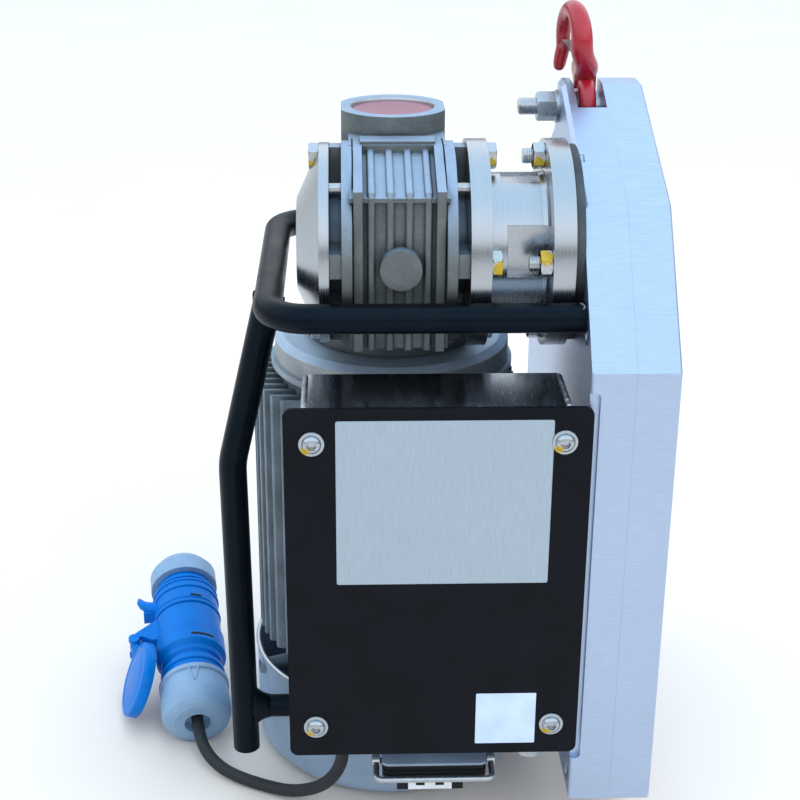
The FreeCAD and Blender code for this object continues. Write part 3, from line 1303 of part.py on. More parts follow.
parts["connector_base"] = fused([rubber] + stubs)
insert_low = hood_low - INSERT_HIGH
insert_mid = hood_mid_x + INSERT_SHIFT
insert_left = insert_mid - INSERT_WIDE / 2
contact_left = insert_mid - CONTACT_WIDE / 2
frame = block(
    insert_left, insert_left + INSERT_WIDE, HOOD_MID_Y - INSERT_DEEP / 2,
    HOOD_MID_Y + INSERT_DEEP / 2, insert_low, hood_low,
)
window = block(
    contact_left, contact_left + CONTACT_WIDE, HOOD_MID_Y - INSERT_DEEP / 2,
    HOOD_MID_Y + INSERT_DEEP / 2 - 3, insert_low, hood_low,
)
parts["connector_frame"] = frame.cut(window)
contact = block(
    contact_left + 0.1, contact_left + CONTACT_WIDE - 0.1, HOOD_MID_Y - INSERT_DEEP / 2,
    HOOD_MID_Y + INSERT_DEEP / 2 - 3, insert_low, hood_low,
)
sockets = []
for share in (0.28, 0.72):
    middle = contact_left + CONTACT_WIDE * share
    sockets.append(
        block(
            middle - SOCKET / 2, middle + SOCKET / 2, HOOD_MID_Y - INSERT_DEEP / 2,
            HOOD_MID_Y, hood_low - 2 - SOCKET, hood_low - 2,
        )
    )
parts["connector_insert"] = cut_all(contact, sockets)

arm_left_x = hood_left - 4
arm_right_x = hood_right + 4
bar_y = HOOD_MID_Y - LEVER_REACH
bar_z = lever_z - LEVER_DROP
lever_path = bent_path([
    V(arm_left_x, HOOD_MID_Y, lever_z),
    V(arm_left_x, bar_y, bar_z),
    V(arm_right_x, bar_y, bar_z),
    V(arm_right_x, HOOD_MID_Y, lever_z),
], [5.0, 5.0])
eyes = [
    cylinder("X", pivot_pin + 2.4, x - LEVER_EYE_HALF, x + LEVER_EYE_HALF, HOOD_MID_Y, lever_z)
    for x in (arm_left_x, arm_right_x)
]
eye_bores = [
    cylinder("X", pivot_pin + RUN_FIT, x - 4, x + 4, HOOD_MID_Y, lever_z)
    for x in (arm_left_x, arm_right_x)
]
lever = fused([swept(lever_path, LEVER_WIRE)] + eyes)
parts["locking_lever"] = cut_all(lever, eye_bores)

blind = fused([
    cylinder("Z", BLIND_COLLAR, BOX_LOW - 2.5, BOX_LOW, blind_x, BLIND_Y),
    hex_head("Z", BLIND_ACROSS, BOX_LOW - 2.5 - BLIND_HIGH, BOX_LOW - 2.5, blind_x, BLIND_Y),
    cylinder("Z", 6, BOX_LOW, BOX_LOW + BOX_SHEET + 6, blind_x, BLIND_Y),
])
parts["blind_plug"] = blind
gland_low = BOX_LOW - GLAND_NUT - GLAND_DOME
gland = fused([
    hexagon("Z", GLAND_ACROSS, BOX_LOW - GLAND_NUT, BOX_LOW, gland_x, GLAND_Y),
    turned("Z", [
        (gland_low, 0),
        (gland_low, CORD + 2),
        (BOX_LOW - GLAND_NUT, GLAND_ACROSS / 2 - 1),
        (BOX_LOW - GLAND_NUT, 0),
    ], gland_x, GLAND_Y),
    cylinder("Z", CORD + 2.9, BOX_LOW, BOX_LOW + BOX_SHEET + 6, gland_x, GLAND_Y),
])
parts["cable_gland"] = gland

# Carrying bar, guard tube and stay
bar_path = bent_path([
    V(CASE_LEFT, BAR_FRONT_Y, BAR_Z),
    V(BAR_SIDE_X, BAR_FRONT_Y, BAR_Z),
    V(BAR_SIDE_X, BAR_BACK_Y, BAR_Z),
    V(CASE_LEFT, BAR_BACK_Y, BAR_Z),
], [BAR_BEND, BAR_BEND])
parts["carry_bar"] = swept(bar_path, BAR)
guard_path = bent_path([
    V(BAR_SIDE_X, GUARD_Y, BAR_Z),
    V(GUARD_X, GUARD_Y, GUARD_BEND_Z),
    V(GUARD_FOOT_X, GUARD_Y, GUARD_FOOT_Z),
], [GUARD_BEND])
guard = swept(guard_path, BAR).cut(swept(guard_path, BAR - GUARD_WALL))
saddle = cylinder("Y", BAR + SEAT_FIT, GUARD_Y - 40, GUARD_Y + 40, BAR_SIDE_X, BAR_Z)
above = block(BAR_SIDE_X - 60, BAR_SIDE_X + 60, GUARD_Y - 40, GUARD_Y + 40, BAR_Z, BAR_Z + 40)
parts["guard_tube"] = cut_all(guard, [saddle, above])
stay = cylinder("X", STAY, GUARD_FOOT_X, MOTOR_X, GUARD_Y, STAY_Z)
stay_tools = [swept(guard_path, BAR + SEAT_FIT)]
stay_tools.append(cylinder("Z", COWL + SEAT_FIT, 0, COWL_HIGH + 20, MOTOR_X, motor_y))
parts["guard_stay"] = cut_all(stay, stay_tools)

# Plug and coupler on the end of the supply cord: turned bodies along a leaning axis
plug_nut = turned("Z", [
    (0, NUT_MOUTH),
    (0, NUT_WIDE - 9.5),
    (0.04 * NUT_LONG, NUT_WIDE - 5.5),
    (0.1 * NUT_LONG, NUT_WIDE - 2.5),
    (0.22 * NUT_LONG, NUT_WIDE - 0.5),
    (0.4 * NUT_LONG, NUT_WIDE),
    (0.85 * NUT_LONG, NUT_WIDE - 1),
    (0.87 * NUT_LONG, NUT_WIDE - 2),
    (0.89 * NUT_LONG, NUT_WIDE - 1),
    (0.9 * NUT_LONG, NUT_WIDE),
    (NUT_LONG, NUT_WIDE),
    (NUT_LONG, 0),
    (NUT_MOUTH_DEEP, 0),
    (NUT_MOUTH_DEEP, NUT_MOUTH),
], 0, 0)
plug_top = NUT_LONG + PLUG_LONG
plug_body = turned("Z", [
    (NUT_LONG, 0),
    (NUT_LONG, PLUG_BODY),
    (NUT_LONG + 12, PLUG_BODY),
    (NUT_LONG + 14, PLUG_BODY - 2),
    (NUT_LONG + 18, PLUG_BODY - 2),
    (NUT_LONG + 20, PLUG_BODY),
    (plug_top - 18, PLUG_BODY + 0.5),
    (plug_top - 14, PLUG_RING),
    (plug_top, PLUG_RING),
    (plug_top, 0),
], 0, 0)
coupler_top = plug_top + COUPLER_LONG
coupler = turned("Z", [
    (plug_top, 0),
    (plug_top, PLUG_RING),
    (plug_top + 6, PLUG_RING),
    (plug_top + 8, COUPLER_BODY),
    (coupler_top - 42, COUPLER_BODY),
    (coupler_top - 40, COUPLER_BODY - 1.5),
    (coupler_top - 36, COUPLER_BODY - 1.5),
    (coupler_top - 34, COUPLER_BODY),
    (coupler_top - 14, COUPLER_BODY - 0.5),
    (coupler_top - 10, COUPLER_BODY - 4),
    (coupler_top, COUPLER_BODY - 4),
    (coupler_top, 0),
], 0, 0)
pin_height = plug_top + LID_BACK
wing = Part.Face(Part.makePolygon([
    V(0, -WING_HIGH / 2, pin_height - 4),
    V(LID_OUT - 15, -WING_HIGH / 2, pin_height - 4),
    V(LID_OUT - 7, -WING_HIGH / 2, pin_height + 1),
    V(LID_OUT, -WING_HIGH / 2, pin_height + 1),
    V(LID_OUT, -WING_HIGH / 2, pin_height + 4),
    V(COUPLER_BODY, -WING_HIGH / 2, pin_height + WING_LONG),
    V(0, -WING_HIGH / 2, pin_height + WING_LONG),
    V(0, -WING_HIGH / 2, pin_height - 4),
])).extrude(V(0, WING_HIGH, 0))
wing_end = cylinder("Y", 4.5, -WING_HIGH / 2, WING_HIGH / 2, LID_OUT, pin_height)
knuckle_half = WING_HIGH / 2 - 4
lid_room = cylinder("Y", 6.5, -knuckle_half - 0.3, knuckle_half + 0.3, LID_OUT, pin_height)
lid_pin = cylinder("Y", LID_PIN, -WING_HIGH / 2, WING_HIGH / 2, LID_OUT, pin_height)
catch = block(COUPLER_BODY - 3, COUPLER_BODY + 9, -6, 6, coupler_top - 30, coupler_top - 24)
coupler = fused([coupler, fused([wing, wing_end]).cut(lid_room), lid_pin, catch])
top_nut = turned("Z", [
    (coupler_top, 0),
    (coupler_top, NUT_WIDE),
    (coupler_top + TOP_NUT_LONG * 0.6, NUT_WIDE),
    (coupler_top + TOP_NUT_LONG * 0.9, NUT_WIDE - 5),
    (coupler_top + TOP_NUT_LONG, NUT_WIDE - 11),
    (coupler_top + TOP_NUT_LONG, 0),
], 0, 0)
splay = math.radians(LID_SPLAY)
lid_out = V(math.cos(splay), 0, -math.sin(splay))
lid_along = V(-math.sin(splay), 0, -math.cos(splay))
pin_point = V(LID_OUT, 0, pin_height)
lid_middle = pin_point + lid_along * (LID + LID_GAP)
lid = Part.makeCylinder(LID, LID_THICK, lid_middle - lid_out * LID_THICK, lid_out)
lid_room = Part.makeCylinder(
    LID - LID_WALL, LID_THICK - LID_WALL, lid_middle - lid_out * LID_THICK, lid_out
)
lid_knuckle = cylinder("Y", 4.0, -knuckle_half, knuckle_half, LID_OUT, pin_height)
strap = Part.makeBox(LID_GAP + 8, 2 * knuckle_half, LID_WALL + 1, V(0, -knuckle_half, -LID_WALL - 1))
strap.Placement = FreeCAD.Placement(pin_point, FreeCAD.Rotation(lid_along, V(0, 1, 0), lid_out, "ZXY"))
lid = fused([lid.cut(lid_room), lid_knuckle, strap])
lid = lid.cut(cylinder("Y", LID_PIN + RUN_FIT, -WING_HIGH, WING_HIGH, LID_OUT, pin_height))

plug_axis = (V(*PLUG_BACK) - V(*PLUG_FRONT)).normalize()
plug_left = V(-plug_axis.y, plug_axis.x, 0).normalize()
plug_up = plug_axis.cross(plug_left)
plug_turn = FreeCAD.Rotation(plug_left, plug_up, plug_axis, "ZXY")
stand = FreeCAD.Placement(V(*PLUG_FRONT), plug_turn)
plug_pieces = {
    "plug_nut": plug_nut,
    "plug_body": plug_body,
    "coupler_body": coupler,
    "coupler_nut": top_nut,
    "coupler_lid": lid,
}
for name, shape in plug_pieces.items():
    shape.Placement = stand.multiply(shape.Placement)
    parts[name] = shape

# Supply cord: out of the plug nut, round over the floor and up to the gland
cord_start = V(*PLUG_FRONT) + plug_axis * NUT_MOUTH_DEEP
cord_points = [
    cord_start,
    cord_start - plug_axis * 19,
    V(-140.0, 111.0, 13.0),
    V(-127.0, 98.0, 7.5),
    V(-110.0, 88.0, 5.2),
    V(-91.7, 78.6, 5.1),
    V(-74.1, 69.0, 7.2),
    V(-57.9, 60.1, 14.7),
    V(-45.2, 53.2, 25.3),
    V(-36.5, 48.4, 39.4),
    V(gland_x, GLAND_Y, gland_low - 14),
    V(gland_x, GLAND_Y, gland_low),
]
cord_bends = []
for i in range(1, len(cord_points) - 1):
    back = cord_points[i - 1] - cord_points[i]
    ahead = cord_points[i + 1] - cord_points[i]
    turn = math.pi - back.getAngle(ahead)
    cord_bends.append(0.45 * min(back.Length, ahead.Length) / math.tan(turn / 2))
cord_path = bent_path(cord_points, cord_bends)
parts["supply_cord"] = swept(cord_path, CORD)

# Origin: middle of the box round the winch without its cord, on the floor
cord_nodes = list(plug_pieces) + ["supply_cord", "cable_gland"]
winch = Part.makeCompound([shape for name, shape in parts.items() if name not in cord_nodes]).BoundBox
shift = V(-(winch.XMin + winch.XMax) / 2, -(winch.YMin + winch.YMax) / 2, 0)

os.makedirs("parts", exist_ok=True)
for name, shape in parts.items():
    shape.translate(shift)
    shape.exportStep("parts/" + name + ".step")
print("shift", round(shift.x, 3), round(shift.y, 3))
print("cord bend radii", [round(bend) for bend in cord_bends])
print("nodes", len(parts))
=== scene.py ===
"""Looks of the portable electric wire-rope winch, in the part's own frame, which is in metres.

Places and sizes that go through at() or mm() are in millimetres of the winch's drawing. Other lengths, such as
the radii of beads and bars, are in metres.
"""
import math
import random

import bmesh
import bpy
from mathutils import Matrix, Vector
from mathutils.bvhtree import BVHTree


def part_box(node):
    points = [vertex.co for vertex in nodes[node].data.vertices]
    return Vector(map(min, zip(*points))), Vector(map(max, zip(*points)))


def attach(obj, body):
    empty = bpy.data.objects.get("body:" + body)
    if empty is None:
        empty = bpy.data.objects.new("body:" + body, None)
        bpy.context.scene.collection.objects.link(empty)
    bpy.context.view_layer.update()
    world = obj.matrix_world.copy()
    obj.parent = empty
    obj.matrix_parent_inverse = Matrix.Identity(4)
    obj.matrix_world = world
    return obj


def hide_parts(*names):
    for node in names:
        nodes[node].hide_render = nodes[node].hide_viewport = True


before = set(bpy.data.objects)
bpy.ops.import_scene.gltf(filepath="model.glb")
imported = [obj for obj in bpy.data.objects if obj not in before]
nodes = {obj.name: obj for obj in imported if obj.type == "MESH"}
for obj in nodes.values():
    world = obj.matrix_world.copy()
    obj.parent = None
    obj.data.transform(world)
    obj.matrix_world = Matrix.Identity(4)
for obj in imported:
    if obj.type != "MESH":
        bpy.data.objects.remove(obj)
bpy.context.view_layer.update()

X_AXIS, Z_AXIS = Vector((1, 0, 0)), Vector((0, 0, 1))


def mm(value):
    """A length of the drawing, in millimetres, in metres."""
    return value / 1000


# The winch's own drawing has the motor axis here, in millimetres; the frame's origin lies elsewhere
MOTOR_X, MOTOR_Y = 6.3, 172.0
cowl_low, cowl_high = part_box("fan_cowl")
SHIFT_X = (cowl_low[0] + cowl_high[0]) / 2 - mm(MOTOR_X)
SHIFT_Y = (cowl_low[1] + cowl_high[1]) / 2 - mm(MOTOR_Y)


def at(x, y, z):
    """A point of the drawing, in millimetres, as a point of the frame, in metres."""
    return Vector((mm(x) + SHIFT_X, mm(y) + SHIFT_Y, mm(z)))


# Camera at the photograph's viewing angle
FOCAL_PX = 1558.0
FRAME_PX = 800.0
SENSOR_MM = 36.0
PITCH = math.radians(22.53)
YAW = math.radians(2.06)
ROLL = math.radians(0.38)
EYE = at(-26.4, -923.1, 743.4)
NEAR_CLIP, FAR_CLIP = 0.05, 400.0

ahead = Vector((math.sin(YAW) * math.cos(PITCH), math.cos(YAW) * math.cos(PITCH), -math.sin(PITCH)))
level = Vector((math.cos(YAW), -math.sin(YAW), 0.0))
over = level.cross(ahead)
right = level * math.cos(ROLL) + over * math.sin(ROLL)
upward = right.cross(ahead)
camera_data = bpy.data.cameras.new("camera")
camera_data.sensor_width = SENSOR_MM
camera_data.lens = FOCAL_PX / FRAME_PX * SENSOR_MM
camera_data.clip_start = NEAR_CLIP
camera_data.clip_end = FAR_CLIP
camera = bpy.data.objects.new("camera", camera_data)
camera.matrix_world = Matrix((
    (right.x, upward.x, -ahead.x, EYE.x),
    (right.y, upward.y, -ahead.y, EYE.y),
    (right.z, upward.z, -ahead.z, EYE.z),
    (0, 0, 0, 1),
))
bpy.context.scene.collection.objects.link(camera)
bpy.context.scene.camera = camera

# Materials: the band of a noise where fine grain turns from dark to light, and the fitters' paint marks
GRAIN_BAND = (0.35, 0.65)
MARK_GRAIN, MARK_RAGGED = 420.0, 0.35
YELLOW_MARK = (0.50, 0.33, 0.01)


class Look:
    """A principled material whose detail comes from noise in the part's own space."""

    def __init__(self, name, color, metallic=0.0, roughness=0.5, specular=0.5):
        self.mat = bpy.data.materials.new(name)
        self.mat.use_nodes = True
        self.mat.diffuse_color = (*color, 1)
        self.tree = self.mat.node_tree
        self.bsdf = self.tree.nodes["Principled BSDF"]
        self.bsdf.inputs["Base Color"].default_value = (*color, 1)
        self.bsdf.inputs["Metallic"].default_value = metallic
        self.bsdf.inputs["Roughness"].default_value = roughness
        self.bsdf.inputs["Specular IOR Level"].default_value = specular
        self.space = self.tree.nodes.new("ShaderNodeTexCoord").outputs["Object"]
        self.normal = None

    def node(self, kind, **settings):
        made = self.tree.nodes.new(kind)
        for key, value in settings.items():
            setattr(made, key, value)
        return made

    def link(self, out, into):
        self.tree.links.new(out, into)

    def noise(self, scale, detail=3.0, stretch=(1, 1, 1), roughness=0.55, space=None):
        place = self.node("ShaderNodeMapping")
        place.inputs["Scale"].default_value = stretch
        self.link(space or self.space, place.inputs["Vector"])
        grain = self.node("ShaderNodeTexNoise")
        grain.inputs["Scale"].default_value = scale
        grain.inputs["Detail"].default_value = detail
        grain.inputs["Roughness"].default_value = roughness
        self.link(place.outputs["Vector"], grain.inputs["Vector"])
        return grain.outputs["Fac"]

    def spread(self, value, low, high, start=0.3, end=0.7):
        """Maps a noise value to a range."""
        scaled = self.node("ShaderNodeMapRange")
        scaled.inputs["From Min"].default_value = start
        scaled.inputs["From Max"].default_value = end
        scaled.inputs["To Min"].default_value = low
        scaled.inputs["To Max"].default_value = high
        self.link(value, scaled.inputs["Value"])
        return scaled.outputs["Result"]

    def mask(self, value, start=0.3, end=0.7, most=1.0):
        """Maps a value to a share: none up to the start, and the most from the end on."""
        return self.spread(value, 0.0, most, start, end)

    def blend(self, mask, first, second):
        """Mixes two colours or colour sockets by a mask."""
        mixed = self.node("ShaderNodeMix", data_type="RGBA")
        self.link(mask, mixed.inputs["Factor"])
        for socket, value in ((mixed.inputs["A"], first), (mixed.inputs["B"], second)):
            if isinstance(value, tuple):
                socket.default_value = (*value, 1)
            else:
                self.link(value, socket)
        return mixed.outputs["Result"]

    def color(self, socket):
        self.link(socket, self.bsdf.inputs["Base Color"])

    def rough(self, value, low, high):
        self.link(self.spread(value, low, high), self.bsdf.inputs["Roughness"])

    def bump(self, height, strength, distance):
        made = self.node("ShaderNodeBump")
        made.inputs["Strength"].default_value = strength
        made.inputs["Distance"].default_value = distance
        self.link(height, made.inputs["Height"])
        if self.normal is not None:
            self.link(self.normal, made.inputs["Normal"])
        self.normal = made.outputs["Normal"]
        self.link(self.normal, self.bsdf.inputs["Normal"])

    def rounded(self, radius):
        """Soft edges, as a broken or cast corner has."""
        edge = self.node("ShaderNodeBevel", samples=4)
        edge.inputs["Radius"].default_value = radius
        self.normal = edge.outputs["Normal"]
        self.link(self.normal, self.bsdf.inputs["Normal"])

    def around(self, centre):
        """Place along X and distance from an axis along X, for the tool lines of turning."""
        middle = self.node("ShaderNodeVectorMath", operation="SUBTRACT")
        middle.inputs[1].default_value = centre
        self.link(self.space, middle.inputs[0])
        flat = self.node("ShaderNodeVectorMath", operation="MULTIPLY")
        flat.inputs[1].default_value = (0, 1, 1)
        self.link(middle.outputs["Vector"], flat.inputs[0])
        reach = self.node("ShaderNodeVectorMath", operation="LENGTH")
        self.link(flat.outputs["Vector"], reach.inputs[0])
        split = self.node("ShaderNodeSeparateXYZ")
        self.link(self.space, split.inputs["Vector"])
        joined = self.node("ShaderNodeCombineXYZ")
        self.link(split.outputs["X"], joined.inputs["X"])
        self.link(reach.outputs["Value"], joined.inputs["Y"])
        return joined.outputs["Vector"]

    def facing_up(self):
        """How far the surface looks up: 1 on a level face."""
        split = self.node("ShaderNodeSeparateXYZ")
        self.link(self.space.node.outputs["Normal"], split.inputs["Vector"])
        return split.outputs["Z"]

    def near(self, points, radius):
        """A ragged mask that is 1 round the given points."""
        sway = radius * MARK_RAGGED
        wobble = self.spread(self.noise(MARK_GRAIN, detail=2.0), -sway, sway)
        mask = None
        for point in points:
            gap = self.node("ShaderNodeVectorMath", operation="DISTANCE")
            gap.inputs[1].default_value = point
            self.link(self.space, gap.inputs[0])
            added = self.node("ShaderNodeMath", operation="ADD")
            self.link(gap.outputs["Value"], added.inputs[0])
            self.link(wobble, added.inputs[1])
            inside = self.node("ShaderNodeMath", operation="LESS_THAN")
            inside.inputs[1].default_value = radius
            self.link(added.outputs["Value"], inside.inputs[0])
            if mask is None:
                mask = inside.outputs["Value"]
            else:
                joined = self.node("ShaderNodeMath", operation="MAXIMUM")
                self.link(mask, joined.inputs[0])
                self.link(inside.outputs["Value"], joined.inputs[1])
                mask = joined.outputs["Value"]
        return mask

    def crevice(self, distance):
        """How open the surface is: 0 in a crevice, 1 in the open."""
        shade = self.node("ShaderNodeAmbientOcclusion", samples=4)
        shade.inputs["Distance"].default_value = distance
        return shade.outputs["AO"]


def shade_of(color, factor, lift=0.0):
    """A darker or lighter shade of a colour."""
    return tuple(min(1.0, c * factor + lift) for c in color)


def milled(name, color, streak, low, high, edge=0.0006, centre=None):
    """Milled or turned aluminium: fine tool lines along one axis or round one, and faint clouding."""
    look = Look(name, color, metallic=1.0, roughness=0.3)
    lines = look.noise(scale=260.0, detail=4.0, stretch=streak, space=look.around(centre) if centre else None)
    clouds = look.noise(scale=22.0)
    dark = shade_of(color, factor=0.86)
    lined = look.blend(look.mask(lines, *GRAIN_BAND), dark, color)
    look.color(look.blend(look.mask(clouds, most=0.25), lined, dark))
    look.rough(lines, low, high)
    if edge:
        look.rounded(edge)
    look.bump(lines, strength=0.06, distance=0.0002)
    return look.mat


def sand_cast(name, color, metallic=0.75, top=None, pocket=0.012):
    """Sand-cast aluminium: grainy, with crevices darkened by painted shade.

    A top colour imitates the photograph's blue light from above, on faces that look up.
    """
    look = Look(name, color, metallic, roughness=0.6)
    grain = look.noise(scale=1500.0, detail=2.0)
    patches = look.noise(scale=45.0, detail=4.0)
    grainy = look.mask(grain, *GRAIN_BAND)
    toned = look.blend(grainy, shade_of(color, factor=0.82), shade_of(color, factor=1.25))
    toned = look.blend(look.mask(patches, most=0.35), toned, shade_of(color, factor=0.55))
    if top:
        lit = look.blend(grainy, shade_of(top, factor=0.85), top)
        toned = look.blend(look.mask(look.facing_up(), start=0.08, end=0.72), toned, lit)
    # Painted shade: crevices and recesses darkened towards a third of the colour
    in_the_open = look.mask(look.crevice(pocket), start=0.25, end=0.8)
    look.color(look.blend(in_the_open, shade_of(color, factor=0.32), toned))
    look.rough(patches, low=0.5, high=0.7)
    look.rounded(radius=0.0011)
    look.bump(grain, strength=0.35, distance=0.0005)
    return look.mat


def painted(name, color, low, high, peel, chips=None, coat=0.0, specular=0.5, gloss=(1.0, 1.0, 1.0)):
    """Paint or powder coat with orange peel, and chips down to a second colour."""
    look = Look(name, color, roughness=0.4, specular=specular)
    skin = look.noise(scale=900.0, detail=2.0)
    clouds = look.noise(scale=30.0)
    toned = look.blend(look.mask(clouds), color, shade_of(color, factor=1.35, lift=0.002))
    if chips:
        flakes = look.noise(scale=330.0, detail=5.0, roughness=0.7)
        toned = look.blend(look.mask(flakes, start=0.67, end=0.69), toned, chips)
    look.color(toned)
    look.rough(clouds, low, high)
    look.bsdf.inputs["Specular Tint"].default_value = (*gloss, 1)
    look.bsdf.inputs["Coat Weight"].default_value = coat
    look.bsdf.inputs["Coat Roughness"].default_value = 0.12
    look.rounded(radius=0.0008)
    look.bump(skin, strength=peel, distance=0.0004)
    return look.mat


def plated(name, color, low=0.18, high=0.36, marks=(), radius=0.003, tint=(0.62, 0.57, 0.42)):
    """Zinc-plated or ground steel, with paint marks where the fastener was checked."""
    look = Look(name, color, metallic=1.0, roughness=0.25)
    clouds = look.noise(scale=160.0, detail=4.0)
    toned = look.blend(look.mask(clouds, start=0.45, end=0.75, most=0.5), color, tint)
    look.rough(look.noise(scale=500.0), low, high)
    if marks:
        mask = look.near(marks, radius)
        toned = look.blend(mask, toned, YELLOW_MARK)
        bare = look.node("ShaderNodeMath", operation="SUBTRACT")
        bare.inputs[0].default_value = 1.0
        look.link(mask, bare.inputs[1])
        look.link(bare.outputs["Value"], look.bsdf.inputs["Metallic"])
    look.color(toned)
    look.rounded(radius=0.0005)
    look.bump(clouds, strength=0.08, distance=0.0003)
    return look.mat


def moulded(name, color, low=0.36, high=0.5, grain=1100.0, bump=0.10, specular=0.5):
    """Moulded plastic or rubber: fine skin and slight handling marks."""
    look = Look(name, color, roughness=0.45, specular=specular)
    skin = look.noise(scale=grain, detail=2.0)
    worn = look.noise(scale=60.0, detail=5.0)
    look.color(look.blend(look.mask(worn), color, shade_of(color, factor=1.18, lift=0.001)))
    look.rough(worn, low, high)
    look.rounded(radius=0.0007)
    look.bump(skin, strength=bump, distance=0.0003)
    return look.mat


# Places of the cover's screws, and of the paint marks on their heads
cover_low, cover_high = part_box("box_cover")
COVER_SIDE, COVER_END = 0.0184, 0.024
SCREW_MARK = (-0.0040, -0.0030, -0.0042)
cover_places = []
for x in (cover_low[0] + COVER_SIDE, cover_high[0] - COVER_SIDE):
    for z in (cover_low[2] + COVER_END, cover_high[2] - COVER_END):
        cover_places.append((x, cover_low[1], z))
screw_marks = [tuple(v + off for v, off in zip(place, SCREW_MARK)) for place in cover_places]

# The gearbox's output axis, its ring of bolts, and the paint marks on nuts and heads at the front and on top
DRIVE_Y, DRIVE_Z = 117.0, 430.0
DRIVE_AXIS = tuple(at(0, DRIVE_Y, DRIVE_Z))
BOLT_RING, BOLT_TURN = 60.5, -3.0
FRONT_BOLT, TOP_BOLT = DRIVE_Y - BOLT_RING, DRIVE_Z + BOLT_RING
NUT_X, FLANGE_FRONT_X, FLANGE_TOP_X, CONE_TOP_X = 104, 74, 70, -50
nut_marks = [
    tuple(at(NUT_X, FRONT_BOLT - 5, DRIVE_Z + 10)),
    tuple(at(NUT_X, DRIVE_Y - 5, TOP_BOLT - 6)),
]
head_marks = [
    tuple(at(FLANGE_FRONT_X, FRONT_BOLT - 8, DRIVE_Z + 2)),
    tuple(at(FLANGE_TOP_X, DRIVE_Y - 6, TOP_BOLT - 5)),
    tuple(at(CONE_TOP_X, DRIVE_Y - 6, TOP_BOLT - 6)),
]

# Bare and plated metals
TURNED_COLOR, TURNED_LINES = (0.45, 0.475, 0.51), (5.0, 5.0, 1.0)
ZINC_COLOR = (0.46, 0.49, 0.53)
case_metal = milled("case_aluminium", (0.46, 0.56, 0.74), streak=(0.25, 1.0, 6.0), low=0.32, high=0.44)
turned_metal = milled("turned_aluminium", TURNED_COLOR, TURNED_LINES, low=0.20, high=0.32, centre=DRIVE_AXIS)
patch_metal = milled("patch_aluminium", TURNED_COLOR, TURNED_LINES, low=0.20, high=0.32, edge=0.0,
                     centre=DRIVE_AXIS)
box_metal = milled("box_steel", (0.42, 0.45, 0.50), streak=(4.0, 0.3, 0.3), low=0.16, high=0.28)
label_metal = milled("label_plate", (0.42, 0.51, 0.60), streak=(6.0, 0.3, 0.3), low=0.34, high=0.44)
cast_metal = sand_cast("cast_aluminium", (0.18, 0.20, 0.205), metallic=0.85, top=(0.36, 0.45, 0.58),
                       pocket=0.006)
# Painted shade: a near-black cast tone for the spigot's side, which lies in shade between the flange and the
# case
spigot_shade_metal = sand_cast("spigot_painted_shade", (0.09, 0.10, 0.11), metallic=0.85)
motor_metal = sand_cast("motor_casting", (0.22, 0.28, 0.33))
shield_metal = sand_cast("shield_casting", (0.40, 0.43, 0.45), top=(0.50, 0.62, 0.76))
zinc = plated("zinc", ZINC_COLOR, low=0.22, high=0.40, tint=(0.40, 0.39, 0.34))
cover_zinc = plated("cover_screw_zinc", (0.42, 0.46, 0.51), low=0.20, high=0.34, marks=screw_marks,
                    radius=0.0032, tint=(0.36, 0.39, 0.43))
nut_zinc = plated("nut_zinc", ZINC_COLOR, low=0.22, high=0.40, marks=nut_marks, radius=0.0055)
head_zinc = plated("head_zinc", ZINC_COLOR, low=0.22, high=0.40, marks=head_marks, radius=0.0050)
steel = plated("ground_steel", (0.52, 0.53, 0.55), low=0.22, high=0.40, tint=(0.40, 0.40, 0.40))
bronze = plated("bronze", (0.62, 0.42, 0.20), tint=(0.50, 0.30, 0.14))
weld_metal = plated("weld_metal", (0.58, 0.60, 0.62), low=0.25, high=0.45, tint=(0.42, 0.42, 0.44))
spot_metal = plated("spot_metal", (0.22, 0.24, 0.27), low=0.35, high=0.5, tint=(0.10, 0.10, 0.11))

# Paints
cowl_metal = painted("cowl_paint", (0.25, 0.34, 0.46), low=0.34, high=0.48, peel=0.08)
black_coat = painted("black_coat", (0.0010, 0.0014, 0.0026), low=0.28, high=0.40, peel=0.10, specular=0.17,
                     gloss=(0.40, 0.68, 1.0))
cover_coat = painted("cover_coat", (0.0014, 0.0022, 0.0050), low=0.40, high=0.52, peel=0.14, specular=0.12)
red_hook = painted("red_hook", (0.30, 0.006, 0.018), low=0.24, high=0.36, peel=0.10,
                   chips=(0.09, 0.008, 0.010), coat=0.25)
red_cap = painted("red_cap", (0.16, 0.016, 0.060), low=0.26, high=0.38, peel=0.06, coat=0.2)
hood_grey = painted("hood_grey", (0.20, 0.26, 0.35), low=0.35, high=0.5, peel=0.10)

# Plastics and rubber
fan_plastic = moulded("fan_plastic", (0.02, 0.02, 0.022))
black_plastic = moulded("black_plastic", (0.003, 0.0034, 0.0045), specular=0.25)
white_plastic = moulded("white_plastic", (0.72, 0.76, 0.80))
blue_plastic = moulded("blue_plastic", (0.0, 0.15, 0.53), low=0.30, high=0.42, specular=0.12)
grey_plastic = moulded("grey_plastic", (0.21, 0.33, 0.48), low=0.40, high=0.55, specular=0.35)
rubber = moulded("cord_rubber", (0.013, 0.015, 0.019), low=0.48, high=0.62, grain=1600.0, bump=0.2,
                 specular=0.35)
sticker_white = moulded("sticker_white", (0.50, 0.61, 0.80), low=0.30, high=0.42, grain=900.0, bump=0.04)

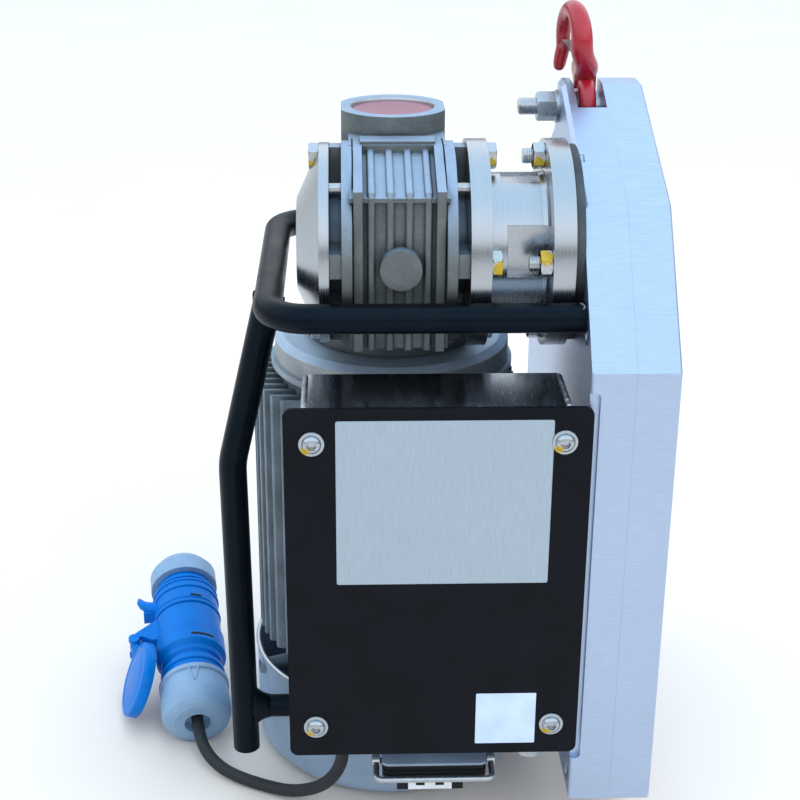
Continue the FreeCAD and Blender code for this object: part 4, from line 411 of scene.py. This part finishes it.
# What each CAD node is made of; the rest, mostly inside, is ground steel
dress = {
    "case_left_shell": case_metal, "case_right_shell": case_metal,
    "gearbox_cap": turned_metal, "output_flange": turned_metal, "drive_bell": turned_metal,
    "gearbox_housing": cast_metal,
    "motor_end_shield": shield_metal, "motor_housing": motor_metal, "motor_lower_shield": motor_metal,
    "fan_cowl": cowl_metal,
    "carry_bar": black_coat, "guard_tube": black_coat, "guard_stay": black_coat, "box_cover": cover_coat,
    "control_box": box_metal,
    "cover_screws": cover_zinc, "bell_studs": nut_zinc, "gearbox_screws": head_zinc,
    "hook": red_hook, "worm_cap": red_cap, "worm_wheel": bronze,
    "fan": fan_plastic, "connector_base": black_plastic,
    "connector_hood": hood_grey, "connector_frame": black_plastic, "cable_gland": black_plastic,
    "connector_insert": white_plastic,
    "plug_body": blue_plastic, "coupler_body": blue_plastic, "coupler_lid": blue_plastic,
    "plug_nut": grey_plastic, "coupler_nut": grey_plastic,
    "supply_cord": rubber,
}
for name in ("case_screws", "suspension_bolt", "suspension_nut", "hook_spacers", "window_studs",
             "foot_screws", "cowl_screws", "blind_plug", "locking_lever", "hook_latch"):
    dress[name] = zinc
for name, node in nodes.items():
    node.data.materials.clear()
    node.data.materials.append(dress.get(name, steel))


# Makers of pieces; edges that turn by more than these angles are drawn sharp
LATHE_SHARP, HEAD_SHARP = math.radians(35), math.radians(40)


def piece(name, mesh, material, body="base", smooth=True):
    made = bpy.data.objects.new(name, mesh)
    bpy.context.scene.collection.objects.link(made)
    mesh.materials.append(material)
    for face in mesh.polygons:
        face.use_smooth = smooth
    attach(made, body)
    return made


def mesh_of(name, points, faces):
    mesh = bpy.data.meshes.new(name)
    mesh.from_pydata([tuple(p) for p in points], [], faces)
    mesh.validate()
    return mesh


def mesh_from(name, form):
    """Mesh of a finished bmesh, which is freed."""
    mesh = bpy.data.meshes.new(name)
    form.to_mesh(mesh)
    form.free()
    return mesh


def turned(first, second, step, steps):
    """Direction of one of a circle's even steps, in the plane of two directions."""
    turn = 2 * math.pi * step / steps
    return first * math.cos(turn) + second * math.sin(turn)


def skin_faces(rows, sides):
    """Faces of a skin over closed rows of points, with both ends shut."""
    faces = []
    for i in range(rows - 1):
        for j in range(sides):
            k = (j + 1) % sides
            faces.append((i * sides + j, i * sides + k, (i + 1) * sides + k, (i + 1) * sides + j))
    faces.append(tuple(reversed(range(sides))))
    faces.append(tuple(range((rows - 1) * sides, rows * sides)))
    return faces


def tube(name, path, radii, sides):
    """Round bar along a path, with a radius for each point."""
    points = []
    side = None
    for i, here in enumerate(path):
        before = path[max(0, i - 1)]
        after = path[min(len(path) - 1, i + 1)]
        along = (after - before).normalized()
        if side is None:
            side = along.orthogonal().normalized()
        side = (side - along * side.dot(along)).normalized()
        other = along.cross(side)
        points += [here + turned(side, other, j, sides) * radii[i] for j in range(sides)]
    return mesh_of(name, points, skin_faces(len(path), sides))


def loft(name, stations, sides):
    """Skin over elliptic sections, each given by its centre and its two half axes."""
    points = []
    for centre, first, second in stations:
        for j in range(sides):
            turn = 2 * math.pi * j / sides
            points.append(centre + first * math.cos(turn) + second * math.sin(turn))
    return mesh_of(name, points, skin_faces(len(stations), sides))


def lathe(name, profile, centre, along, material, body, sides):
    """Turned ring from (position, radius) pairs, in millimetres; the profile is closed."""
    side = along.orthogonal().normalized()
    other = along.cross(side)
    points, faces = [], []
    count = len(profile)
    for j in range(sides):
        out = turned(side, other, j, sides)
        for place, radius in profile:
            points.append(centre + along * mm(place) + out * mm(radius))
    for j in range(sides):
        k = (j + 1) % sides
        for i in range(count):
            n = (i + 1) % count
            faces.append((j * count + i, j * count + n, k * count + n, k * count + i))
    made = piece(name, mesh_of(name, points, faces), material, body)
    made.data.set_sharp_from_angle(angle=LATHE_SHARP)
    return made


def weld(name, start, end, radius, seed):
    """Weld bead: overlapping ripples along a line."""
    pitch, points_a_ripple, ripple_low, sway_share = 0.0022, 4, 0.74, 0.05
    end_size, end_growth = 0.35, 8
    chance = random.Random(seed)
    run = (end - start).length
    count = int(run / pitch * points_a_ripple)
    path, radii = [], []
    for i in range(count + 1):
        share = i / count
        ripple = ripple_low + (1 - ripple_low) * abs(math.cos(math.pi * share * run / pitch))
        taper = min(1.0, end_size + end_growth * min(share, 1 - share))
        sway = Vector((chance.uniform(-1, 1), chance.uniform(-1, 1), chance.uniform(-1, 1)))
        path.append(start.lerp(end, share) + sway * radius * sway_share)
        radii.append(radius * ripple * taper)
    piece(name, tube(name, path, radii, sides=14), weld_metal, "base")


def seam_weld(name, points, radius, seed):
    """Painted weld bead along a closed line."""
    chance = random.Random(seed)
    thinnest, thickest = 0.82, 1.12
    radii = [radius * chance.uniform(thinnest, thickest) for point in points]
    radii[-1] = radii[0]
    piece(name, tube(name, points, radii, sides=10), black_coat, "base")


def thread(name, start, radius, length, pitch, depth):
    """Screw thread along X as one helical surface round a plain end."""
    sides, rows_a_pitch = 28, 8
    rows = int(length / pitch * rows_a_pitch)
    side = X_AXIS.orthogonal().normalized()
    other = X_AXIS.cross(side)
    points = []
    for i in range(rows + 1):
        spot = start + X_AXIS * (length * i / rows)
        edge = min(1.0, 2.0 * min(i, rows - i) / rows_a_pitch)
        for j in range(sides):
            phase = (i / rows_a_pitch - j / sides) % 1.0
            ridge = 1 - abs(2 * phase - 1)
            reach = radius + depth * (2 * ridge - 1) * edge - depth * (1 - edge)
            points.append(spot + turned(side, other, j, sides) * reach)
    piece(name, mesh_of(name, points, skin_faces(rows + 1, sides)), zinc, "base")


def without(name, node_name, picked):
    """Copy of a set of fasteners less those that the test picks out by their middle."""
    form = bmesh.new()
    form.from_mesh(nodes[node_name].data)
    left = set(form.verts)
    gone = []
    while left:
        island, front = set(), [left.pop()]
        while front:
            vert = front.pop()
            island.add(vert)
            for edge in vert.link_edges:
                other = edge.other_vert(vert)
                if other in left:
                    left.discard(other)
                    front.append(other)
        middle = sum((v.co for v in island), Vector()) / len(island)
        if picked(middle):
            gone.extend(island)
    bmesh.ops.delete(form, geom=gone, context="VERTS")
    made = piece(name, mesh_from(name, form), dress[node_name], "base", smooth=False)
    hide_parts(node_name)


# Bare plates on the cover, where the rating plate and the sticker are
COVER_FACE = -3.0
CORNER_STEPS = 6


def plate(name, wide, high, thick, corner, material):
    """Thin plate with rounded corners on the cover, between two places across and two up."""
    left_x, right_x = wide[0] + corner, wide[1] - corner
    low_z, top_z = high[0] + corner, high[1] - corner
    ring = []
    for x, z, first in ((right_x, top_z, 0), (left_x, top_z, 90),
                        (left_x, low_z, 180), (right_x, low_z, 270)):
        for i in range(CORNER_STEPS + 1):
            turn = math.radians(first + 90 * i / CORNER_STEPS)
            ring.append((x + corner * math.cos(turn), z + corner * math.sin(turn)))
    form = bmesh.new()
    face = form.faces.new([form.verts.new(at(x, COVER_FACE, z)) for x, z in ring])
    made = bmesh.ops.extrude_face_region(form, geom=[face])
    moved = [v for v in made["geom"] if isinstance(v, bmesh.types.BMVert)]
    bmesh.ops.translate(form, verts=moved, vec=Vector((0, -mm(thick), 0)))
    bmesh.ops.recalc_face_normals(form, faces=form.faces)
    rim = [e for e in form.edges if all(v in moved for v in e.verts)]
    bmesh.ops.bevel(form, geom=rim, offset=mm(thick) / 3, segments=2, profile=0.6, affect="EDGES")
    piece(name, mesh_from(name, form), material, "base", smooth=False)


plate("rating_plate", wide=(-35.0, 107.0), high=(227.5, 347.0), thick=0.6, corner=1.5,
      material=label_metal)
plate("sticker", wide=(61.0, 103.0), high=(99.0, 140.0), thick=0.3, corner=0.8,
      material=sticker_white)

# Weld beads on the box's upper edges
BOX_LEFT, BOX_RIGHT, BOX_DEEP, BOX_TOP = -56.4, 118.4, 64.0, 353.0
BEAD_IN, BEAD_SUNK, BEAD_SHORT, BEAD_RADIUS = 1.2, 0.6, 1, 0.0022
for name, x, seed in (("box_weld_left", BOX_LEFT + BEAD_IN, 2), ("box_weld_right", BOX_RIGHT - BEAD_IN, 3)):
    bead_start = at(x, BEAD_SHORT, BOX_TOP - BEAD_SUNK)
    bead_end = at(x, BOX_DEEP - BEAD_SHORT, BOX_TOP - BEAD_SUNK)
    weld(name, bead_start, bead_end, BEAD_RADIUS, seed)

# Fillet of the stay on the guard tube: place along the stay, half width and half height
TUBE = 10.0
GUARD_Y = 90.0
STAY_X, STAY_Z = -100.0, 71.0
STAY_FILLET = ((0, 8.6, 20), (2.0, 8.7, 16.5), (4.0, 8.7, 13.8), (6.5, 8.7, 11.6), (9.5, 8.7, 9.9),
               (13.0, 8.6, 8.7))
stations = []
for along, wide, high in STAY_FILLET:
    stations.append((at(STAY_X + along, GUARD_Y, STAY_Z), Vector((0, mm(wide), 0)), Vector((0, 0, mm(high)))))
piece("stay_fillet", loft("stay_fillet", stations, sides=32), black_coat, "base")

# Weld of the guard tube under the carrying bar, round the saddle where the two tubes meet
BAR_Z = 401.3
GUARD_TOP_X, GUARD_BEND_X, GUARD_BEND_Z = -80, -109.3, 276
GUARD_STEPS, GUARD_BEAD = 72, 0.0013
guard_top, guard_bend = at(GUARD_TOP_X, GUARD_Y, BAR_Z), at(GUARD_BEND_X, GUARD_Y, GUARD_BEND_Z)
down = (guard_bend - guard_top).normalized()
across = Vector((0, 1, 0))
aside = down.cross(across)
saddle = []
for i in range(GUARD_STEPS + 1):
    turn = 2 * math.pi * i / GUARD_STEPS
    out = down * abs(math.cos(turn)) + across * math.cos(turn) + aside * math.sin(turn)
    saddle.append(guard_top + out * mm(TUBE))
seam_weld("guard_weld", saddle, GUARD_BEAD, seed=5)

# Welds of the bar's two ends on the case, with bare spots in front of them
BAR_ENDS = (40.0, 272.0)
SEAM_X, SEAM_RADIUS, SEAM_STEPS, SEAM_BEAD = 129.3, TUBE + 0.2, 48, 0.0008
SPOT_X, SPOT_SWAY, SPOT_FRONT = 127.4, 1.2, 0.3
SPOT_FIRST, SPOT_STEP = 52, 9
SPOT_RADII = (0.0005, 0.0011, 0.0009, 0.0012, 0.0010, 0.0005)
for i, y in enumerate(BAR_ENDS):
    seam = []
    for j in range(SEAM_STEPS + 1):
        turn = 2 * math.pi * j / SEAM_STEPS
        seam.append(at(SEAM_X, y + SEAM_RADIUS * math.cos(turn), BAR_Z + SEAM_RADIUS * math.sin(turn)))
    seam_weld("bar_weld_%d" % i, seam, SEAM_BEAD, seed=7 + i)
    spots = []
    for j in range(len(SPOT_RADII)):
        turn = math.radians(SPOT_FIRST + SPOT_STEP * j)
        spots.append(at(SPOT_X + SPOT_SWAY * math.sin(j), y - SPOT_FRONT - TUBE * math.cos(turn),
                        BAR_Z + TUBE * math.sin(turn)))
    spot_name = "bar_spot_%d" % i
    piece(spot_name, tube(spot_name, spots, SPOT_RADII, sides=10), spot_metal, "base")

# Supply cord on one smooth curve
NUT_MOUTH_DEEP, NUT_STRAIGHT = 8.0, 19
GLAND_X, GLAND_Y, GLAND_LOW, GLAND_STRAIGHT = -32.0, 46.0, 69.0, 14
CORD_RADIUS, CORD_LENGTH = 0.0048, 0.205
plug_front = Vector((-149.0, 138.0, 23.0))
plug_back = Vector((-178.5, 327.0, 75.0))
plug_axis = (plug_back - plug_front).normalized()
cord_start = plug_front + plug_axis * NUT_MOUTH_DEEP
cord_next = cord_start - plug_axis * NUT_STRAIGHT
route = [
    tuple(cord_start),
    tuple(cord_next),
    (-140.0, 111.0, 13.0),
    (-127.0, 98.0, 7.5),
    (-110.0, 88.0, 5.2),
    (-91.7, 78.6, 5.1),
    (-74.1, 69.0, 7.2),
    (-57.9, 60.1, 14.7),
    (-45.2, 53.2, 25.3),
    (-36.5, 48.4, 39.4),
    (GLAND_X, GLAND_Y, GLAND_LOW - GLAND_STRAIGHT),
    (GLAND_X, GLAND_Y, GLAND_LOW),
]
line = bpy.data.curves.new("supply_lead", "CURVE")
line.dimensions = "3D"
line.bevel_depth = CORD_RADIUS
line.bevel_resolution = 6
line.use_fill_caps = True
spline = line.splines.new("NURBS")
spline.points.add(len(route) - 1)
for point, place in zip(spline.points, route):
    point.co = (*at(*place), 1.0)
spline.order_u = 3
spline.use_endpoint_u = True
spline.resolution_u = 14
lead = bpy.data.objects.new("supply_lead", line)
bpy.context.scene.collection.objects.link(lead)
line.materials.append(rubber)
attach(lead, "base")
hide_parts("supply_cord")

# Rings of the plug and the coupler: place along them, radius under the ring, height and half width
plug_left = Vector((-plug_axis.y, plug_axis.x, 0)).normalized()
plug_up = plug_axis.cross(plug_left)


def on_plug(left, up, along):
    """A point beside, above and along the plug from its front, in millimetres, as a point of the frame."""
    return at(*(plug_front + plug_left * left + plug_up * up + plug_axis * along))


PLUG_RINGS = ((50.5, 25.0, 1.5, 2.6), (113.0, 27.5, 1.1, 2.0), (131.5, 27.3, 1.2, 2.0),
              (139.0, 27.0, 1.0, 1.6), (146.5, 23.5, 1.6, 2.4))
RING_SUNK, SHOULDER_WIDE, SHOULDER_HIGH = 1, 0.7, 0.8
for i, (along, base_radius, proud, half) in enumerate(PLUG_RINGS):
    foot, shoulder = base_radius - RING_SUNK, base_radius + proud * SHOULDER_HIGH
    profile = [(along - half, foot), (along - half * SHOULDER_WIDE, shoulder), (along, base_radius + proud),
               (along + half * SHOULDER_WIDE, shoulder), (along + half, foot)]
    lathe("plug_ring_%d" % i, profile, on_plug(0, 0, 0), plug_axis, blue_plastic,
                             "base", sides=72)

# Slots of the bodies, drawn as black strips of painted shade, and the wedge mark on the nut, set on the
# surface of the solids
SKIN_LEAST, SKIN_FAR = 0.020, 0.040
skins = []
for node_name in ("plug_nut", "plug_body", "coupler_body"):
    node_mesh = nodes[node_name].data
    corners = [v.co for v in node_mesh.vertices]
    skins.append(BVHTree.FromPolygons(corners, [p.vertices for p in node_mesh.polygons]))


def on_skin(turn, along, proud=0.0):
    """The outermost point of the plug or coupler there; turn is in degrees from the top, to the right."""
    out = plug_up * math.cos(math.radians(turn)) - plug_left * math.sin(math.radians(turn))
    middle = on_plug(0, 0, along)
    reach = SKIN_LEAST
    for skin in skins:
        hit = skin.ray_cast(middle + out * SKIN_FAR, -out, SKIN_FAR)
        if hit[0] is not None:
            reach = max(reach, (hit[0] - middle).length)
    return middle + out * (reach + mm(proud))


# A slot's place along the plug and its first and last turn; a mark's share of its run and its radius there
SLOTS = ((119.5, 8.0, 28.0), (72.5, 2.0, 42.0))
SLOT_STEPS, SLOT_HALF_WIDE, SLOT_HALF_HIGH = 12, 0.0013, 0.00025
NUT_MARK = ((0.1, 0.0004), (0.3, 0.0008), (0.5, 0.0009), (0.7, 0.0009), (0.9, 0.0008), (1.0, 0.0004))
NUT_MARK_TURN, NUT_MARK_START, NUT_MARK_LONG, NUT_MARK_PROUD = 9.0, 19.0, 19.0, -0.1
for i, (along, first, last) in enumerate(SLOTS):
    stations = []
    for j in range(SLOT_STEPS + 1):
        spot = on_skin(first + (last - first) * j / SLOT_STEPS, along)
        out = (spot - on_plug(0, 0, along)).normalized()
        stations.append((spot, plug_axis * SLOT_HALF_WIDE, out * SLOT_HALF_HIGH))
    slot_mesh = loft("slot_%d" % i, stations, sides=12)
    piece("slot_%d" % i, slot_mesh, black_plastic, "base")
for i, side in enumerate((-1, 1)):
    path = []
    for share, radius in NUT_MARK:
        along = NUT_MARK_START + NUT_MARK_LONG * share
        path.append(on_skin(side * share * NUT_MARK_TURN, along, NUT_MARK_PROUD))
    mark = tube("nut_mark_%d" % i, path, [radius for share, radius in NUT_MARK], sides=10)
    piece("nut_mark_%d" % i, mark, grey_plastic, "base")

# The coupler's curved claw: place to the left and along, and radius there
CLAW_UP = 6.0
CLAW = ((20, 127, 0.0056), (27, 127.5, 0.0054), (32.5, 129, 0.0048), (36.5, 132, 0.0040), (38.8, 136, 0.0030),
        (39.4, 139.5, 0.0014))
claw_path = [on_plug(left, CLAW_UP, along) for left, along, radius in CLAW]
claw_mesh = tube("claw", claw_path, [radius for left, along, radius in CLAW], sides=18)
piece("claw", claw_mesh, blue_plastic, "base")

# The coupler's lid, which hangs open and looks up to the left, with its strap to the pin
LID_ROLL = math.radians(22.0)
LID_SPLAY = math.radians(-4.0)
PIN_OUT, PIN_ALONG, LID_REACH = 46.0, 90.0, 35.5
LID_PROFILE = [
    (-9.0, 29.2), (-9.0, 30.6), (-8.4, 31.0), (-2.0, 31.0), (-0.8, 30.4), (0.0, 28.6), (0.3, 25.0),
    (-0.3, 23.4), (0.4, 21.2), (0.9, 11.0), (1.0, 0.05), (-0.8, 0.05), (-1.6, 9.0), (-1.6, 29.2),
]
STRAP = ((0.0, 8.0, 3.8), (0.25, 8.0, 3.0), (0.55, 9.0, 2.4), (1.0, 11.0, 1.6))
STRAP_SHORT, STRAP_SUNK = 0.0262, 0.002
lid_hang = plug_left * -math.sin(LID_SPLAY) - plug_axis * math.cos(LID_SPLAY)
lid_face = plug_left * math.cos(LID_SPLAY) - plug_axis * math.sin(LID_SPLAY)
lid_face = lid_face * math.cos(LID_ROLL) + plug_up * math.sin(LID_ROLL)
lid_pin = on_plug(PIN_OUT, 0, PIN_ALONG)
lid_middle = lid_pin + lid_hang * mm(LID_REACH)
lid = lathe("lid_form", LID_PROFILE, lid_middle, lid_face, blue_plastic, "lid", sides=80)
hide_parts("coupler_lid")
lid_side = lid_face.cross(lid_hang).normalized()
strap_end = lid_middle - lid_hang * STRAP_SHORT - lid_face * STRAP_SUNK
stations = []
for share, wide, thick in STRAP:
    flat = (plug_up * (1 - share) + lid_side * share).normalized()
    through = lid_hang.cross(flat).normalized()
    stations.append((lid_pin.lerp(strap_end, share), flat * mm(wide), through * mm(thick)))
lid_strap = piece("lid_strap", loft("lid_strap", stations, sides=24), blue_plastic, "lid")

# Threads on the suspension bolt and on the studs
BOLT_END, STUD_X = at(100.6, 217, 504), 93.6
thread("bolt_thread", BOLT_END, radius=0.0061, length=0.0128, pitch=0.00175, depth=0.0004)
for i in range(4):
    turn = math.radians(90 * i + BOLT_TURN)
    stud = at(STUD_X, DRIVE_Y + BOLT_RING * math.cos(turn), DRIVE_Z + BOLT_RING * math.sin(turn))
    thread("stud_thread_%d" % i, stud, radius=0.0051, length=0.0068, pitch=0.0015, depth=0.0003)

# The photo shows no screw on the front of the cone: it is left out, and its pocket is filled
CONE_SIDE = at(0, 75, 0)
without("flange_bolts", "gearbox_screws", lambda c: c.x < CONE_SIDE.x and c.y < CONE_SIDE.y)
cone_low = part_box("gearbox_cap")[0]
CONE_LONG, CONE_SMALL, CONE_LARGE = 15.5, 32.0, 66.0
PATCH_INNER, PATCH_PROUD, PATCH_DEEP = 47.5, 0.02, 0.3
PATCH_HALF, PATCH_STEP, PATCH_ROWS = 12.6, 1.05, 25
patch_section = []
for radius in (PATCH_INNER, CONE_LARGE):
    on_cone = CONE_LONG * (radius - CONE_SMALL) / (CONE_LARGE - CONE_SMALL)
    patch_section.append((radius, on_cone - PATCH_PROUD))
for radius in (CONE_LARGE, PATCH_INNER):
    patch_section.append((radius, CONE_LONG + PATCH_DEEP))
patch_points = []
for i in range(PATCH_ROWS):
    turn = math.radians(180 + BOLT_TURN - PATCH_HALF + PATCH_STEP * i)
    for radius, deep in patch_section:
        spot = at(0, DRIVE_Y + radius * math.cos(turn), DRIVE_Z + radius * math.sin(turn))
        patch_points.append(Vector((cone_low[0] + mm(deep), spot.y, spot.z)))
patch_mesh = mesh_of("cone_patch", patch_points, skin_faces(PATCH_ROWS, len(patch_section)))
piece("cone_patch", patch_mesh, patch_metal, "base", smooth=False)

# The bell's studs end inside its spigot, whose side is covered by a near-black band of painted shade
STUD_END = 128.8
SPIGOT_SHADE_BAND = [(123.6, 67.0), (123.6, 67.7), (129.9, 67.7), (129.9, 67.0)]
form = bmesh.new()
form.from_mesh(nodes["bell_studs"].data)
bmesh.ops.bisect_plane(form, geom=form.verts[:] + form.edges[:] + form.faces[:], plane_co=at(STUD_END, 0, 0),
                       plane_no=X_AXIS, clear_outer=True)
bmesh.ops.holes_fill(form, edges=[e for e in form.edges if e.is_boundary], sides=0)
bell_bolts = piece("bell_bolts", mesh_from("bell_bolts", form), nut_zinc, "base", smooth=False)
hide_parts("bell_studs")
lathe("spigot_shade_band", SPIGOT_SHADE_BAND, Vector(DRIVE_AXIS), X_AXIS, spigot_shade_metal, "base",
      sides=120)

# Button heads with a flange and a hexagon socket: height and radius of a ring, and whether it is hexagonal
HEAD_RINGS = (
    (0.0, 8.7, False), (0.9, 8.7, False), (1.5, 8.3, False), (1.7, 7.0, False), (1.6, 6.5, False),
    (2.6, 6.3, False), (3.9, 5.3, False), (4.6, 4.2, False), (4.8, 3.5, False),
    (4.8, 2.95, True), (4.5, 2.75, True), (2.0, 2.75, True),
)
HEAD_SIDES = 48
head_points, head_faces = [], []
for x, y, z in cover_places:
    first = len(head_points)
    for out, radius, hexagonal in HEAD_RINGS:
        for j in range(HEAD_SIDES):
            turn = 2 * math.pi * j / HEAD_SIDES
            reach = mm(radius)
            if hexagonal:
                reach /= math.cos((turn % (math.pi / 3)) - math.pi / 6)
            head_points.append(Vector((x + reach * math.cos(turn), y - mm(out), z + reach * math.sin(turn))))
    for face in skin_faces(len(HEAD_RINGS), HEAD_SIDES):
        head_faces.append(tuple(first + corner for corner in face))
head_mesh = mesh_of("cover_heads", head_points, head_faces)
heads = piece("cover_heads", head_mesh, cover_zinc, "base")
heads.data.set_sharp_from_angle(angle=HEAD_SHARP)
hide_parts("cover_screws")

# Contact chambers in the white insert, drawn as black boxes of painted shade
insert_low, insert_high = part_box("connector_insert")
CHAMBER_PLACES = (0.28, 0.72)
CHAMBER_WIDE, CHAMBER_DEEP, CHAMBER_HIGH = 0.0062, 0.006, 0.0066
CHAMBER_UP, CHAMBER_PROUD = 0.0033, 0.00005
CHAMBER_CORNERS = ((-1, 0, 0), (1, 0, 0), (1, 0, 1), (-1, 0, 1), (-1, 1, 0), (1, 1, 0), (1, 1, 1), (-1, 1, 1))
CHAMBER_FACES = [(0, 1, 2, 3), (5, 4, 7, 6), (4, 0, 3, 7), (1, 5, 6, 2), (3, 2, 6, 7), (4, 5, 1, 0)]
for i, share in enumerate(CHAMBER_PLACES):
    middle = insert_low[0] + (insert_high[0] - insert_low[0]) * share
    front = insert_low[1] - CHAMBER_PROUD
    low = insert_low[2] + CHAMBER_UP
    corners = []
    for dx, dy, dz in CHAMBER_CORNERS:
        corners.append((middle + dx * CHAMBER_WIDE / 2, front + dy * CHAMBER_DEEP, low + dz * CHAMBER_HIGH))
    chamber = mesh_of("chamber_%d" % i, corners, CHAMBER_FACES)
    piece("chamber_%d" % i, chamber, black_plastic, "base", smooth=False)

# Point of the hook, down to just above the case's ear: place to the left, depth, height, and radius there
HOOK_TIP_X = 135.0
HOOK_POINT = (
    (0.0, 241.6, 545.5, 0.0051), (0.0, 242.3, 542, 0.0052), (0.7, 243, 538, 0.0052),
    (1.4, 243.3, 534, 0.0050), (2.0, 243.4, 530, 0.0047), (2.4, 243.2, 527, 0.0037),
    (2.6, 243.0, 525.4, 0.0018),
)
point_path = [at(HOOK_TIP_X - left, y, z) for left, y, z, radius in HOOK_POINT]
point_mesh = tube("hook_point", point_path, [radius for left, y, z, radius in HOOK_POINT], sides=20)
piece("hook_point", point_mesh, red_hook, "hook")

# Red plug of the worm bore with its bright ring, and the rolled bright rim of the fan cowl
CAP_DISC = [(508.8, 0.05), (508.8, 29.3), (511.0, 29.3), (511.6, 28.7), (511.9, 20), (512.0, 0.05)]
CAP_RING = [(511.0, 29.0), (511.0, 30.0), (513.9, 30.0), (513.9, 29.6), (513.2, 29.1)]
RIM_Z, RIM_RADIUS, RIM_HALF_HIGH, RIM_HALF_WIDE, RIM_STEP = 87, 106.1, 1.5, 1.9, 30
motor_foot = at(MOTOR_X, MOTOR_Y, 0)
lathe("cap_disc", CAP_DISC, motor_foot, Z_AXIS, red_cap, "base", sides=96)
lathe("cap_ring", CAP_RING, motor_foot, Z_AXIS, zinc, "base", sides=96)
rim_profile = []
for degrees in range(0, 360, RIM_STEP):
    turn = math.radians(degrees)
    rim_profile.append((RIM_Z + RIM_HALF_HIGH * math.cos(turn), RIM_RADIUS + RIM_HALF_WIDE * math.sin(turn)))
lathe("cowl_rim", rim_profile, motor_foot, Z_AXIS, zinc, "base", sides=120)

# Plain pale floor
FLOOR = 200
FLOOR_COLOR, FLOOR_DARK, FLOOR_LIGHT = (0.80, 0.72, 0.66), (0.75, 0.67, 0.61), (0.77, 0.69, 0.63)
floor_corners = [(-FLOOR, -FLOOR, 0), (FLOOR, -FLOOR, 0), (FLOOR, FLOOR, 0), (-FLOOR, FLOOR, 0)]
floor_mesh = mesh_of("floor", floor_corners, [(0, 1, 2, 3)])
floor = bpy.data.objects.new("floor", floor_mesh)
bpy.context.scene.collection.objects.link(floor)
floor_look = Look("floor_paint", FLOOR_COLOR, roughness=0.6, specular=0.2)
floor_look.color(floor_look.blend(floor_look.mask(floor_look.noise(scale=3.0)), FLOOR_DARK, FLOOR_LIGHT))
floor_mesh.materials.append(floor_look.mat)

# Soft lights, which don't show as patches in the metal
LIGHT_TARGET = Vector((0, 0, 0.3))


def area_light(name, place, size, power, color):
    data = bpy.data.lights.new(name, "AREA")
    data.shape = "RECTANGLE"
    data.size, data.size_y = size
    data.energy = power
    data.color = color
    lamp = bpy.data.objects.new(name, data)
    bpy.context.scene.collection.objects.link(lamp)
    lamp.location = place
    lamp.visible_glossy = False
    lamp.rotation_euler = (LIGHT_TARGET - Vector(place)).to_track_quat("-Z", "Y").to_euler()


area_light("key", place=(0.9, -1.7, 2.1), size=(1.2, 1.2), power=12.0, color=(1.0, 0.99, 0.97))
area_light("top", place=(0.2, 0.1, 2.4), size=(1.6, 1.2), power=10.0, color=(0.80, 0.91, 1.0))
area_light("right_fill", place=(2.2, -0.6, 1.2), size=(1.2, 1.6), power=5.0, color=(0.90, 0.95, 1.0))

# World: the metal sees a sky over a darker horizon, and the camera sees one plain tone behind the object
SKY_ENDS = ((0.0, (0.07, 0.066, 0.06, 1)), (0.95, (0.60, 0.81, 1.0, 1)))
SKY_BETWEEN = ((0.13, (0.10, 0.10, 0.095, 1)), (0.24, (0.76, 0.80, 0.84, 1)), (0.60, (0.80, 0.91, 1.0, 1)))
BACKDROP = (0.60, 0.62, 0.64, 1)
SKY_STRENGTH = 1.75
world = bpy.data.worlds.new("studio")
world.use_nodes = True
bpy.context.scene.world = world
sky = world.node_tree
place = sky.nodes.new("ShaderNodeTexCoord")
split = sky.nodes.new("ShaderNodeSeparateXYZ")
sky.links.new(place.outputs["Generated"], split.inputs["Vector"])
ramp = sky.nodes.new("ShaderNodeValToRGB")
for element, (position, tone) in zip(ramp.color_ramp.elements, SKY_ENDS):
    element.position = position
    element.color = tone
for position, tone in SKY_BETWEEN:
    ramp.color_ramp.elements.new(position).color = tone
sky.links.new(split.outputs["Z"], ramp.inputs["Fac"])
rays = sky.nodes.new("ShaderNodeLightPath")
plain = sky.nodes.new("ShaderNodeMix")
plain.data_type = "RGBA"
plain.inputs["B"].default_value = BACKDROP
sky.links.new(rays.outputs["Is Camera Ray"], plain.inputs["Factor"])
sky.links.new(ramp.outputs["Color"], plain.inputs["A"])
sky.links.new(plain.outputs["Result"], sky.nodes["Background"].inputs["Color"])
sky.nodes["Background"].inputs["Strength"].default_value = SKY_STRENGTH
bpy.context.scene.view_settings.view_transform = "Standard"
